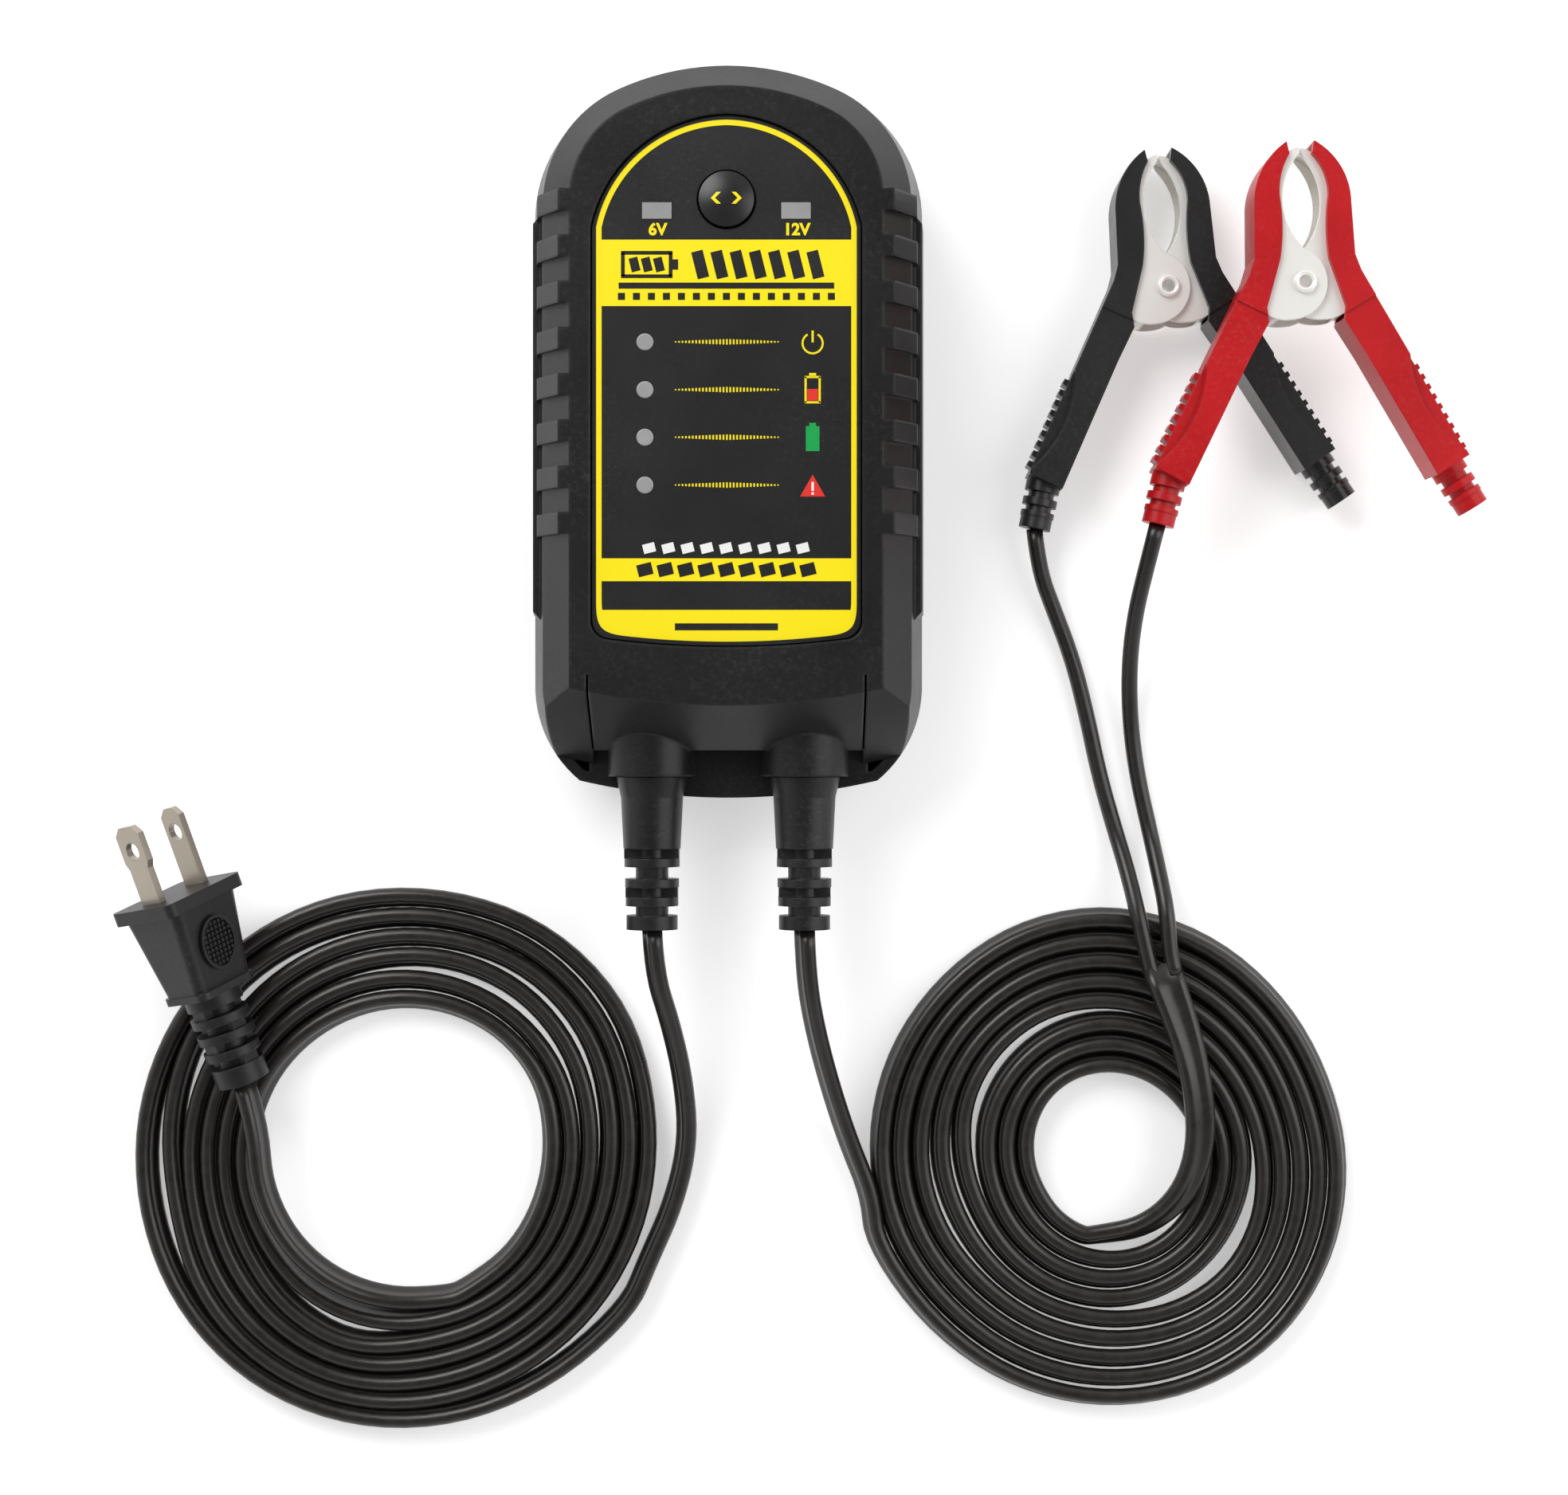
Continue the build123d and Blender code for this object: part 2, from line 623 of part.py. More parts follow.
# ---------------------------------------------------------------- mains plug
plug_origin = (-122.15, -101.8, 20.5)
plug_heading = 107.9
plug_rise = 9.0
plug_roll = 50.0
plug_axis = (cos(radians(plug_rise)) * cos(radians(plug_heading)),
             cos(radians(plug_rise)) * sin(radians(plug_heading)), sin(radians(plug_rise)))
plug_level = Vector(sin(radians(plug_heading)), -cos(radians(plug_heading)), 0)
plug_across = plug_level * cos(radians(plug_roll)) + Vector(*plug_axis).cross(plug_level) * sin(radians(plug_roll))
plug_plane = Plane(origin=plug_origin, x_dir=plug_across, z_dir=plug_axis)
flange_size = (22.0, 20.5)
flange_corner = 1.8
flange_thick = 3.0
body_size = 18.4
body_length = 18.8
tail_length = 22.0
blade_spacing = 12.7
blade_length = 17.9
blade_thick = 1.52
blade_widths = (7.94, 6.35)
blade_hole_radius = 2.0
blade_hole_reach = 12.3
blade_waist = 8.2
blade_tip_cut = 1.8
blade_socket = 8.0
body_corner = 2.2
body_end = (15.8, 12.4)
lip_size = (16.4, 14.2)
lip_thick = 1.6
tail_stack = (("ring", 3.0, 6.4), ("neck", 2.0, 0), ("ring", 2.0, 6.6), ("neck", 2.0, 0), ("ring", 2.0, 6.5),
              ("neck", 2.0, 0), ("ring", 2.0, 6.3), ("neck", 2.0, 0), ("ring", 4.4, 6.0))
with BuildPart() as plug_body:
    with BuildSketch(plug_plane):
        RectangleRounded(*flange_size, flange_corner)
    extrude(amount=-flange_thick)
    with BuildSketch(plug_plane.offset(-flange_thick)):
        RectangleRounded(body_size, body_size, body_corner)
    with BuildSketch(plug_plane.offset(-flange_thick - body_length)):
        RectangleRounded(*body_end, body_corner)
    loft(ruled=True)
    depth = flange_thick + body_length
    with BuildSketch(plug_plane.offset(-depth)):
        RectangleRounded(*lip_size, body_corner)
    extrude(amount=-lip_thick)
    depth += lip_thick
    with BuildSketch(plug_plane.offset(-depth)):
        Circle(3.9)
    extrude(amount=-tail_length)
    for number, (kind, length, radius) in enumerate(tail_stack):
        with BuildSketch(plug_plane.offset(-depth)):
            if kind == "ring":
                Circle(radius)
            elif number % 4 == 1:
                Rectangle(11.0, 4.0)
            else:
                Rectangle(4.0, 11.0)
        extrude(amount=-length)
        depth += length
    for side in (-1, 1):
        with BuildSketch(plug_plane):
            with Locations((side * blade_spacing / 2, 0)):
                Rectangle(blade_thick, blade_widths[1])
        extrude(amount=-blade_socket, mode=Mode.SUBTRACT)
save(plug_body, "plug_body")
print("plug lowest", round(plug_body.part.bounding_box().min.Z, 2))

for side, width, name in zip((-1, 1), blade_widths, ("plug_blade_wide", "plug_blade_narrow")):
    blade_plane = Plane(origin=plug_plane.from_local_coords((side * blade_spacing / 2, 0, 0)),
                        x_dir=plug_plane.y_dir, z_dir=plug_plane.x_dir)
    root_half = blade_widths[1] / 2
    tip_half = width / 2
    with BuildPart() as blade:
        with BuildSketch(blade_plane):
            with BuildLine():
                right = [(root_half, -blade_socket), (root_half, blade_waist), (tip_half, blade_waist + 1.6),
                         (tip_half, blade_length - blade_tip_cut), (tip_half - blade_tip_cut, blade_length)]
                Polyline(*right, *[(-a, b) for a, b in reversed(right)], close=True)
            make_face()
        extrude(amount=blade_thick / 2, both=True)
        with Locations(blade_plane.offset(0) * Pos(0, blade_hole_reach, 0)):
            Cylinder(blade_hole_radius, 4, mode=Mode.SUBTRACT)
    save(blade, name)

# ---------------------------------------------------------------- battery clamps
clamp_thick = 13.5
handle_thick = 12.6
jaw_sheet = 0.8
left_plate_top = 5.8
plate_gap = 0.3
right_plate_top = left_plate_top - jaw_sheet - plate_gap
rivet_radius = 1.95
pivot_gap = 0.06
rivet_bore = 1.5
rivet_flange = 2.5
lobe_centre = 3.3
lobe_radius = 8.2
jaw_tip_y = 29.5
tip_gap = 0.2
grip_wall = 1.6
grip_lap = 0.8
handle_slant = 28.2
seam_reach = (22.7, -27.9)
pad_recess = 1.5
pad_depth = 2.9
boot_length = 10.5
spring_coil_radius = 4.3
spring_wire = 0.6
handle_end = ((34.3, -39.3), (27.2, -43.4))


def grip_outline(side, inset=0.0):
    """Side view of one moulded grip: jaw sleeve, elbow and handle. side is -1 for the left half."""
    with BuildLine() as line:
        tip = (side * (3.0 - inset * 0.4), 30.7)
        shoulder = (side * (10.6 - inset), 17.0)
        ThreePointArc(tip, (side * (8.3 - inset * 0.8), 25.4), shoulder)
        Polyline(shoulder, (side * (11.0 - inset), 5.5), (side * (12.2 - inset), 2.0),
                 (side * handle_end[0][0], handle_end[0][1]), (side * handle_end[1][0], handle_end[1][1]),
                 (side * 12.6, -16.0), (side * 8.3, -8.6), (side * 8.7, -5.5), (side * 5.4, 5.0))
        lap = grip_lap if side < 0 else 0.0
        ThreePointArc((side * 5.4, 5.0), (side * (5.1 - lap * 0.6), 12.5), (side * (5.8 - lap), 19.0))
        ThreePointArc((side * (5.8 - lap), 19.0), (side * (4.9 - lap * 0.8), 24.2), (side * 2.5, 28.0))
        Line((side * 2.5, 28.0), tip)
    return line.line


def jaw_outline(side):
    """Side view of one pressed jaw: pointed tip, half of the oval gap, round pivot lobe."""
    lobe_x = side * lobe_centre
    rise = sqrt(lobe_radius**2 - (lobe_centre - 0.35) ** 2)
    with BuildLine() as line:
        ThreePointArc((side * 1.3, 29.3), (side * 6.6, 24.7), (side * 8.8, 17.0))
        Polyline((side * 8.8, 17.0), (side * 9.2, 5.5), (side * 10.2, 1.6), (side * 10.6, -3.0),
                 (side * 9.2, -6.6))
        ThreePointArc((side * 9.2, -6.6), (side * 6.8, -7.8), (lobe_x, -lobe_radius))
        ThreePointArc((lobe_x, -lobe_radius), (lobe_x - side * lobe_radius, 0), (side * 0.35, rise))
        ThreePointArc((side * 0.35, rise), (side * 4.2, 17.4), (side * 0.8, 27.4))
        Polyline((side * 0.8, 27.4), (side * tip_gap, 28.4), (side * tip_gap, jaw_tip_y),
                 (side * 1.3, 29.3))
    return line.line


def boot(plane, side, open_end):
    """Ribbed boot on the end of a handle."""
    middle = ((handle_end[0][0] + handle_end[1][0]) / 2, (handle_end[0][1] + handle_end[1][1]) / 2)
    lean = radians(30 if open_end else 16)
    axis = plane.from_local_coords((side * sin(lean), -cos(lean), 0)) - plane.origin
    start = plane.from_local_coords((side * middle[0], middle[1], 0)) - axis * 1.5
    boot_plane = Plane(origin=start, x_dir=plane.z_dir, z_dir=axis)
    steps = ((3.6, 3.9), (1.5, 2.9), (1.7, 3.9), (1.3, 2.9), (1.2, 3.8), (2.7, 3.6))
    depth = 0.0
    for length, radius in steps:
        with BuildSketch(boot_plane.offset(depth)) as step:
            Circle(radius)
        extrude(step.sketch, amount=length)
        depth += length
    if open_end:
        with BuildSketch(boot_plane.offset(depth)) as bore:
            Circle(2.3)
        extrude(bore.sketch, amount=-6, mode=Mode.SUBTRACT)


def thumb_teeth(plane, side):
    """Row of teeth along the outer edge of a handle's lower half."""
    elbow = Vector(12.2, 2.0)
    run = Vector(*handle_end[0]) - elbow
    unit = run.normalized()
    outward = Vector(-unit.Y, unit.X)
    for number in range(9):
        place = elbow + unit * (run.length - 3.0 - 2.5 * number)
        with BuildSketch(plane.offset(-3.2)) as tooth:
            with BuildLine():
                feet = [place - outward * 0.5, place + outward * 1.1, place + unit * 1.2 + outward * 1.1,
                        place + unit * 1.5 - outward * 0.5]
                Polyline(*[(side * p.X, p.Y) for p in feet], close=True)
            make_face()
        extrude(tooth.sketch, amount=6.4)


def thumb_recess(plane, side):
    """Lens-shaped hollow beside the teeth, on both faces of a handle."""
    elbow = Vector(12.2, 2.0)
    run = Vector(*handle_end[0]) - elbow
    unit = run.normalized()
    outward = Vector(-unit.Y, unit.X)
    first = elbow + unit * (run.length - 25.5)
    last = elbow + unit * (run.length - 1.2)
    middle = (first + last) / 2 - outward * pad_depth
    for level in (handle_thick / 2 - pad_recess, -handle_thick / 2):
        with BuildSketch(plane.offset(level)) as hollow:
            with BuildLine():
                ends = [(side * p.X, p.Y) for p in (first, middle, last, last + outward, first + outward)]
                ThreePointArc(*ends[:3])
                Polyline(*ends[2:], ends[0])
            make_face()
        extrude(hollow.sketch, amount=pad_recess, mode=Mode.SUBTRACT)


def clamp_grip(name, plane, side):
    """One moulded grip, pocketed for its jaw."""
    plate_top = left_plate_top if side < 0 else right_plate_top
    with BuildPart() as grip:
        with BuildSketch(plane.offset(-clamp_thick / 2)):
            make_face(grip_outline(side).edges())
        extrude(amount=clamp_thick)
        with BuildSketch(plane.offset(-plate_top)):
            make_face(grip_outline(side, grip_wall).edges())
            with Locations((side * 20, -30)):
                Rectangle(60, 44, mode=Mode.SUBTRACT)
        extrude(amount=2 * plate_top, mode=Mode.SUBTRACT)
        for face in (-1, 1):
            with BuildSketch(plane.offset(face * handle_thick / 2)):
                with Locations(Location((side * seam_reach[0], seam_reach[1], 0), (0, 0, side * handle_slant))):
                    Rectangle(60, 50)
            extrude(amount=face * 4, mode=Mode.SUBTRACT)
        thumb_recess(plane, side)
        thumb_teeth(plane, side)
        boot(plane, side, side > 0)
    save(grip, name)


def clamp_jaw(name, plane, side):
    """One pressed jaw: two plates joined by a spine along the outer edge."""
    top = left_plate_top if side < 0 else right_plate_top
    with BuildPart() as jaw:
        with BuildSketch(plane.offset(-top)):
            make_face(jaw_outline(side).edges())
        extrude(amount=2 * top)
        with BuildSketch(plane.offset(-top + jaw_sheet)):
            with Locations((-side * jaw_sheet * 1.3, -0.3)):
                add(jaw_outline(side).edges())
            make_face()
        extrude(amount=2 * (top - jaw_sheet), mode=Mode.SUBTRACT)
        with BuildSketch(plane.offset(-top)):
            Circle(rivet_radius + (pivot_gap if side > 0 else 0))
        extrude(amount=2 * top, mode=Mode.SUBTRACT)
    save(jaw, name)
    return jaw


def clamp(prefix, plane):
    """Both halves of a clamp with its eyelet rivet and torsion spring."""
    for side, half in ((-1, "left"), (1, "right")):
        clamp_grip(f"{prefix}_{half}_grip", plane, side)
        clamp_jaw(f"{prefix}_{half}_jaw", plane, side)
    flange_low = left_plate_top + 0.02
    with BuildPart() as rivet:
        with BuildSketch(plane.offset(-flange_low)):
            Circle(rivet_radius)
        extrude(amount=2 * flange_low)
        for face in (-1, 1):
            with BuildSketch(plane.offset(face * flange_low)):
                Circle(rivet_flange)
            extrude(amount=face * 0.8)
        with BuildSketch(plane.offset(-8)):
            Circle(rivet_bore)
        extrude(amount=16, mode=Mode.SUBTRACT)
    save(rivet, f"{prefix}_rivet")
    coil_half = right_plate_top - jaw_sheet - 0.4
    with BuildPart() as spring:
        with BuildSketch(plane.offset(-coil_half)):
            Circle(spring_coil_radius)
            Circle(rivet_radius + 0.5, mode=Mode.SUBTRACT)
        extrude(amount=2 * coil_half)
        for side in (-1, 1):
            with BuildSketch(plane.offset(side * (coil_half - spring_wire) - spring_wire)):
                with BuildLine():
                    Polyline((side * 0.5, -3.6), (side * 2.6, -2.8), (side * 6.9, -5.9), (side * 6.5, -6.9),
                             close=True)
                make_face()
            extrude(amount=2 * spring_wire)
    save(spring, f"{prefix}_spring")


black_clamp_turn = 4.5
red_clamp_turn = 2.3
black_plane = Plane(origin=(98.3, 33.6, clamp_thick / 2),
                    x_dir=(cos(radians(black_clamp_turn)), sin(radians(black_clamp_turn)), 0),
                    z_dir=(0, 0, 1))
red_plane = Plane(origin=(126.4, 32.3, 1.5 * clamp_thick + 0.4),
                  x_dir=(cos(radians(red_clamp_turn)), sin(radians(red_clamp_turn)), 0), z_dir=(0, 0, 1))
clamp("black", black_plane)
clamp("red", red_plane)
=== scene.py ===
import bpy
import bmesh
import json
from math import cos, hypot, pi, radians, sin
from mathutils import Matrix, Vector


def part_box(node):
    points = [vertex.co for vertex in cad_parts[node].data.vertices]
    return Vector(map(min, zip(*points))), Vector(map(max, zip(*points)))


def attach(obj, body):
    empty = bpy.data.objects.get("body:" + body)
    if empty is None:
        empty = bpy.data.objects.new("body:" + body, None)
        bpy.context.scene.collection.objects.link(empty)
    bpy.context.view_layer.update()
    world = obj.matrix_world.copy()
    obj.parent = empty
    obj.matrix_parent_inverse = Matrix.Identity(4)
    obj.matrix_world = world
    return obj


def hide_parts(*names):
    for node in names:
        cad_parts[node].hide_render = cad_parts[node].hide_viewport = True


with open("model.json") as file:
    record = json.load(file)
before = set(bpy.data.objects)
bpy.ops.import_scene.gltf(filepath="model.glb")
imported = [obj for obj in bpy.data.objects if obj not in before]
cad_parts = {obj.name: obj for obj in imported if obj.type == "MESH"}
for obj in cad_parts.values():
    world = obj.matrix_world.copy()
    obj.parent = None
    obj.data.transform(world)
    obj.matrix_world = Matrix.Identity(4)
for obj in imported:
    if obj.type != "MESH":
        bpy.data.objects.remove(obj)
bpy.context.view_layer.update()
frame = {"nodes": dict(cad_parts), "record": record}
MM = 0.001
nodes = frame["nodes"]


def mm(*values):
    """A point or a list of lengths given in millimetres, in metres"""
    return tuple(v * MM for v in values)


# ------------------------------------------------------------------ camera
eye = mm(12.29, -69.65, 650.0)
camera_data = bpy.data.cameras.new("view_camera")
camera_data.lens = 65.4
camera_data.sensor_width = 36.0
camera = bpy.data.objects.new("view_camera", camera_data)
camera.location = eye
bpy.context.scene.collection.objects.link(camera)
bpy.context.scene.camera = camera
bpy.context.scene.view_settings.view_transform = "Standard"


# ------------------------------------------------------------------- cords
cord_thick = 3.5
lead_width = 3.7
turn_points = 16
spline_inset = 0.981
coil_lean = 19
coil_middle_z = 3.6
lie_down = 62

mains_lead = [
    (-16.8, -109.7, 22.0), (-16.4, -119.5, 20.9), (-13.0, -131.0, 15.5), (-10.3, -144.5, 9.4),
    (-9.4, -159.0, 4.6), (-12.9, -173.5, 3.6), (-18.6, -186.0, 3.6)]
mains_end = [
    (-64.0, -194.2, 3.6), (-77.5, -194.6, 4.8), (-89.5, -189.6, 8.4), (-98.8, -180.5, 11.4),
    (-104.6, -168.0, 12.9), (-105.3, -154.2, 13.9), (-108.5, -144.0, 13.57)]
output_lead = [
    (16.8, -109.7, 22.0), (17.1, -119.7, 20.9), (19.0, -131.5, 15.6), (22.4, -145.0, 9.6),
    (26.8, -158.8, 4.7), (32.0, -171.5, 3.6)]
output_end = [
    (83.0, -180.2, 3.6), (93.8, -178.3, 5.0), (102.3, -170.6, 8.6), (106.0, -159.2, 10.8),
    (105.3, -146.2, 11.6), (102.0, -132.4, 11.0), (96.8, -118.5, 9.8)]
black_lead_line = [
    (95.4, -122.2, 10.0), (94.4, -118.6, 9.9), (91.9, -107.4, 10.0), (90.0, -97.6, 5.4),
    (87.6, -88.6, 2.1), (84.0, -76.0, 1.9), (81.2, -62.5, 1.9), (77.9, -49.5, 2.0),
    (73.6, -38.4, 2.9), (69.9, -29.4, 5.6), (68.8, -20.3, 6.75)]
red_lead_line = [
    (100.2, -120.4, 10.0), (99.1, -117.0, 9.9), (98.4, -106.8, 10.0), (97.0, -97.4, 5.4),
    (95.4, -88.4, 2.1), (92.6, -76.0, 1.9), (90.9, -63.5, 2.6), (90.2, -51.0, 6.8),
    (90.8, -39.8, 12.9), (92.8, -29.2, 18.4), (94.8, -20.5, 20.65)]


def ramp(value, start, end):
    """0 before start, 1 after end, smooth between"""
    share = min(1.0, max(0.0, (value - start) / (end - start)))
    return share * share * (3 - 2 * share)


def between(profile, part):
    """Radius read from a profile of (part of a turn, radius)"""
    for (low, near), (high, far) in zip(profile, profile[1:]):
        if part <= high:
            return near + (far - near) * (part - low) / (high - low)
    return profile[-1][1]


def coil_turns(centre, rim, hole, start, sense, turns, lenses, height):
    """Control points of a flat coil wound from outside in.

    rim is the outer edge of the outermost turn, hole the inner edge of the innermost one, both as
    (part of a turn, radius); they close a thickness and a gap further in. lenses are the places
    where a turn stands off the next one: (turn, half span, width)."""
    whole = int(turns)
    gaps = whole - 1

    def lens(turn):
        return sum(wide * max(0.0, 1 - ((turn - at) / reach) ** 2) ** 1.5 for at, reach, wide in lenses)

    def lenses_at(part):
        return sum(lens(part + lap) for lap in range(gaps))

    step_in = cord_thick + (rim[0][1] - hole[0][1] - whole * cord_thick - lenses_at(0)) / gaps
    rim = rim + [(1.0, rim[0][1] - step_in - lens(0))]
    hole = hole + [(1.0, hole[0][1] - step_in)]

    def radius(turn):
        lap = min(int(turn), whole)
        part = turn - lap
        out = between(rim, part) - cord_thick / 2
        room = out - between(hole, part) - cord_thick / 2
        pitch = (room - lenses_at(part)) / gaps
        return out - sum(pitch + lens(part + passed) for passed in range(lap))

    count = int(turns * turn_points)
    points = []
    for step in range(count + 1):
        turn = step * turns / count
        angle = start + sense * turn * 2 * pi
        reach = radius(turn) / spline_inset
        points.append((centre[0] + reach * cos(angle), centre[1] + reach * sin(angle), height))
    return points


def read_line(route):
    """Points along the smooth line that has the route as its control points"""
    curve = bpy.data.curves.new("route", "CURVE")
    curve.dimensions = "3D"
    curve.resolution_u = 5
    spline = curve.splines.new("NURBS")
    spline.points.add(len(route) - 1)
    for point, place in zip(spline.points, route):
        point.co = (*mm(*place), 1.0)
    spline.order_u = 3
    spline.use_endpoint_u = True
    holder = bpy.data.objects.new("route", curve)
    line = bpy.data.meshes.new_from_object(holder)
    points = [vertex.co.copy() for vertex in line.vertices]
    bpy.data.objects.remove(holder)
    bpy.data.curves.remove(curve)
    bpy.data.meshes.remove(line)
    kept = points[:1]
    for point in points[1:]:
        if (point - kept[-1]).length > 0.2 * MM:
            kept.append(point)
    return kept


def line_length(points):
    """Length of a line through points"""
    return sum((b - a).length for a, b in zip(points, points[1:]))


def twin_section(spread):
    """Outline of a flat two-wire cord: two round wires and the web between them"""
    half = cord_thick / 2
    outline = []
    for side in (1, -1):
        for step in range(10):
            turn = radians(-40 + 260 * step / 9)
            outline.append((side * half * cos(turn), side * (spread + half * sin(turn))))
    return outline


def round_section(spread):
    """Outline of one round lead, whatever the spread"""
    return [(lead_width / 2 * cos(step * pi / 7), lead_width / 2 * sin(step * pi / 7)) for step in range(14)]


def sweep(name, path, section, roll, spread):
    """A mesh tube along the path. roll and spread are read at the share of its length"""
    total = line_length(path)
    mesh = bmesh.new()
    around = mesh.loops.layers.uv.new("along_cord")
    rings = []
    gone = 0.0
    for at, point in enumerate(path):
        if at:
            gone += (point - path[at - 1]).length
        ahead = path[min(at + 1, len(path) - 1)] - path[max(at - 1, 0)]
        ahead.normalize()
        side = ahead.cross(Vector((0, 0, 1))).normalized()
        up = side.cross(ahead)
        tilt = radians(roll(gone / total))
        across = side * cos(tilt) + up * sin(tilt)
        upright = up * cos(tilt) - side * sin(tilt)
        ring = [mesh.verts.new(point + across * a * MM + upright * b * MM)
                for a, b in section(spread(gone / total))]
        rings.append((ring, gone))
    count = len(rings[0][0])
    for (ring, low), (after, high) in zip(rings, rings[1:]):
        for at in range(count):
            following = (at + 1) % count
            face = mesh.faces.new((ring[at], ring[following], after[following], after[at]))
            face.smooth = True
            corners = ((at, low), (at + 1, low), (at + 1, high), (at, high))
            for loop, (turn, far) in zip(face.loops, corners):
                loop[around].uv = (turn / count, far * 100)
    mesh.faces.new(list(reversed(rings[0][0])))
    mesh.faces.new(rings[-1][0])
    bmesh.ops.recalc_face_normals(mesh, faces=mesh.faces)
    data = bpy.data.meshes.new(name)
    mesh.to_mesh(data)
    mesh.free()
    tube = bpy.data.objects.new(name, data)
    bpy.context.scene.collection.objects.link(tube)
    return tube


mains_rim = [
    (0.0, 63.3), (0.05, 61.4), (0.08, 60.6), (0.13, 60.2), (0.22, 59.5), (0.38, 57.8), (0.47, 58.4),
    (0.58, 60.4), (0.69, 61.7), (0.77, 63.4), (0.83, 62.4), (0.88, 59.4), (0.94, 57.9)]
mains_hole = [
    (0.0, 36.4), (0.05, 36.1), (0.10, 34.9), (0.16, 34.4), (0.27, 32.9), (0.33, 31.7), (0.44, 32.1),
    (0.58, 33.4), (0.69, 35.2), (0.76, 36.1), (0.83, 35.9), (0.88, 34.2), (0.94, 32.9)]
mains_lenses = [
    (0.0, 0.10, 2.3), (0.39, 0.085, 2.9), (0.80, 0.06, 0.9), (2.81, 0.10, 1.4), (3.757, 0.13, 1.5),
    (1.51, 0.10, 2.7), (4.215, 0.075, 2.9)]
output_rim = [
    (0.0, 57.4), (0.057, 55.7), (0.112, 55.5), (0.2, 55.9), (0.307, 56.1), (0.362, 55.1), (0.418, 54.0),
    (0.474, 52.5), (0.515, 52.2), (0.585, 53.3), (0.64, 55.2), (0.7, 56.8), (0.751, 56.7), (0.807, 55.6),
    (0.89, 54.7), (0.946, 53.8)]
output_hole = [
    (0.0, 21.0), (0.06, 20.9), (0.17, 21.2), (0.28, 21.2), (0.39, 20.3), (0.57, 19.8), (0.7, 20.3),
    (0.75, 20.5), (0.83, 19.8), (0.9, 18.5)]
output_lenses = [
    (4.835, 0.17, 2.3), (2.98, 0.075, 0.9), (3.97, 0.07, 0.9), (4.335, 0.13, 3.0), (7.29, 0.16, 2.6)]
mains_turns = coil_turns(
    (-75.9, -163.2), mains_rim, mains_hole, radians(-32.6), -1, 6.08, mains_lenses, coil_middle_z)
output_turns = coil_turns(
    (86.2, -162.9), output_rim, output_hole, radians(199.5), 1, 8.14, output_lenses, coil_middle_z)


def mains_roll(share):
    """The cord stands on edge in its coil and leans a little"""
    return coil_lean + 2 * sin(share * 60)


def output_roll(share):
    """It leans in the coil and lies down before its end"""
    return coil_lean + 2 * sin(share * 70) + lie_down * ramp(share, 0.957, 0.987)


def even_spread(share):
    """The two wires lie against each other"""
    return cord_thick / 2


def output_spread(share):
    """The two wires part just before the split"""
    return cord_thick / 2 + 0.85 * ramp(share, 0.985, 1.0)


mains_path = read_line(mains_lead + mains_turns + mains_end)
output_path = read_line(output_lead + output_turns + output_end)
black_path = read_line(black_lead_line)
red_path = read_line(red_lead_line)
mains_cord = sweep("mains_cord", mains_path, twin_section, mains_roll, even_spread)
output_cord = sweep("output_cord", output_path, twin_section, output_roll, output_spread)
black_wire = sweep("black_wire", black_path, round_section, even_spread, even_spread)
red_wire = sweep("red_wire", red_path, round_section, even_spread, even_spread)
for cord, replaced in ((mains_cord, ("mains_cord_lead", "mains_cord_coil", "mains_cord_end")),
                       (output_cord, ("output_cord_lead", "output_cord_coil", "output_cord_end")),
                       (black_wire, ("black_lead",)), (red_wire, ("red_lead",))):
    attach(cord, "root")
    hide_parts(*replaced)


# ---------------------------------------------------------------- materials
def new_group(name, inputs, outputs):
    """A shader node group with named number or colour sockets"""
    group = bpy.data.node_groups.new(name, "ShaderNodeTree")
    for label, kind, value in inputs:
        socket = group.interface.new_socket(name=label, in_out="INPUT", socket_type=kind)
        if value is not None:
            socket.default_value = value
    for label, kind in outputs:
        group.interface.new_socket(name=label, in_out="OUTPUT", socket_type=kind)
    return group, group.nodes.new("NodeGroupInput"), group.nodes.new("NodeGroupOutput")


def math_node(tree, operation, first, second=None, third=None, clamp=False):
    """A Math node on sockets or numbers"""
    node = tree.nodes.new("ShaderNodeMath")
    node.operation = operation
    node.use_clamp = clamp
    for slot, value in enumerate((first, second, third)):
        if value is None:
            continue
        if hasattr(value, "is_output"):
            tree.links.new(value, node.inputs[slot])
        else:
            node.inputs[slot].default_value = value
    return node.outputs[0]


def noise(tree, place, scale, detail=3.0, rough=0.55):
    """Noise read at a place"""
    node = tree.nodes.new("ShaderNodeTexNoise")
    node.inputs["Detail"].default_value = detail
    node.inputs["Roughness"].default_value = rough
    tree.links.new(place, node.inputs["Vector"])
    if hasattr(scale, "is_output"):
        tree.links.new(scale, node.inputs["Scale"])
    else:
        node.inputs["Scale"].default_value = scale
    return node.outputs["Fac"]


def span(tree, value, low, high, out_low=0.0, out_high=1.0):
    """A value between two limits, as a share or between two other numbers"""
    node = tree.nodes.new("ShaderNodeMapRange")
    tree.links.new(value, node.inputs["Value"])
    for socket, number in (("From Min", low), ("From Max", high), ("To Min", out_low), ("To Max", out_high)):
        node.inputs[socket].default_value = number
    return node.outputs["Result"]


def object_place(tree):
    """Object coordinates, in metres"""
    return tree.nodes.new("ShaderNodeTexCoord").outputs["Object"]


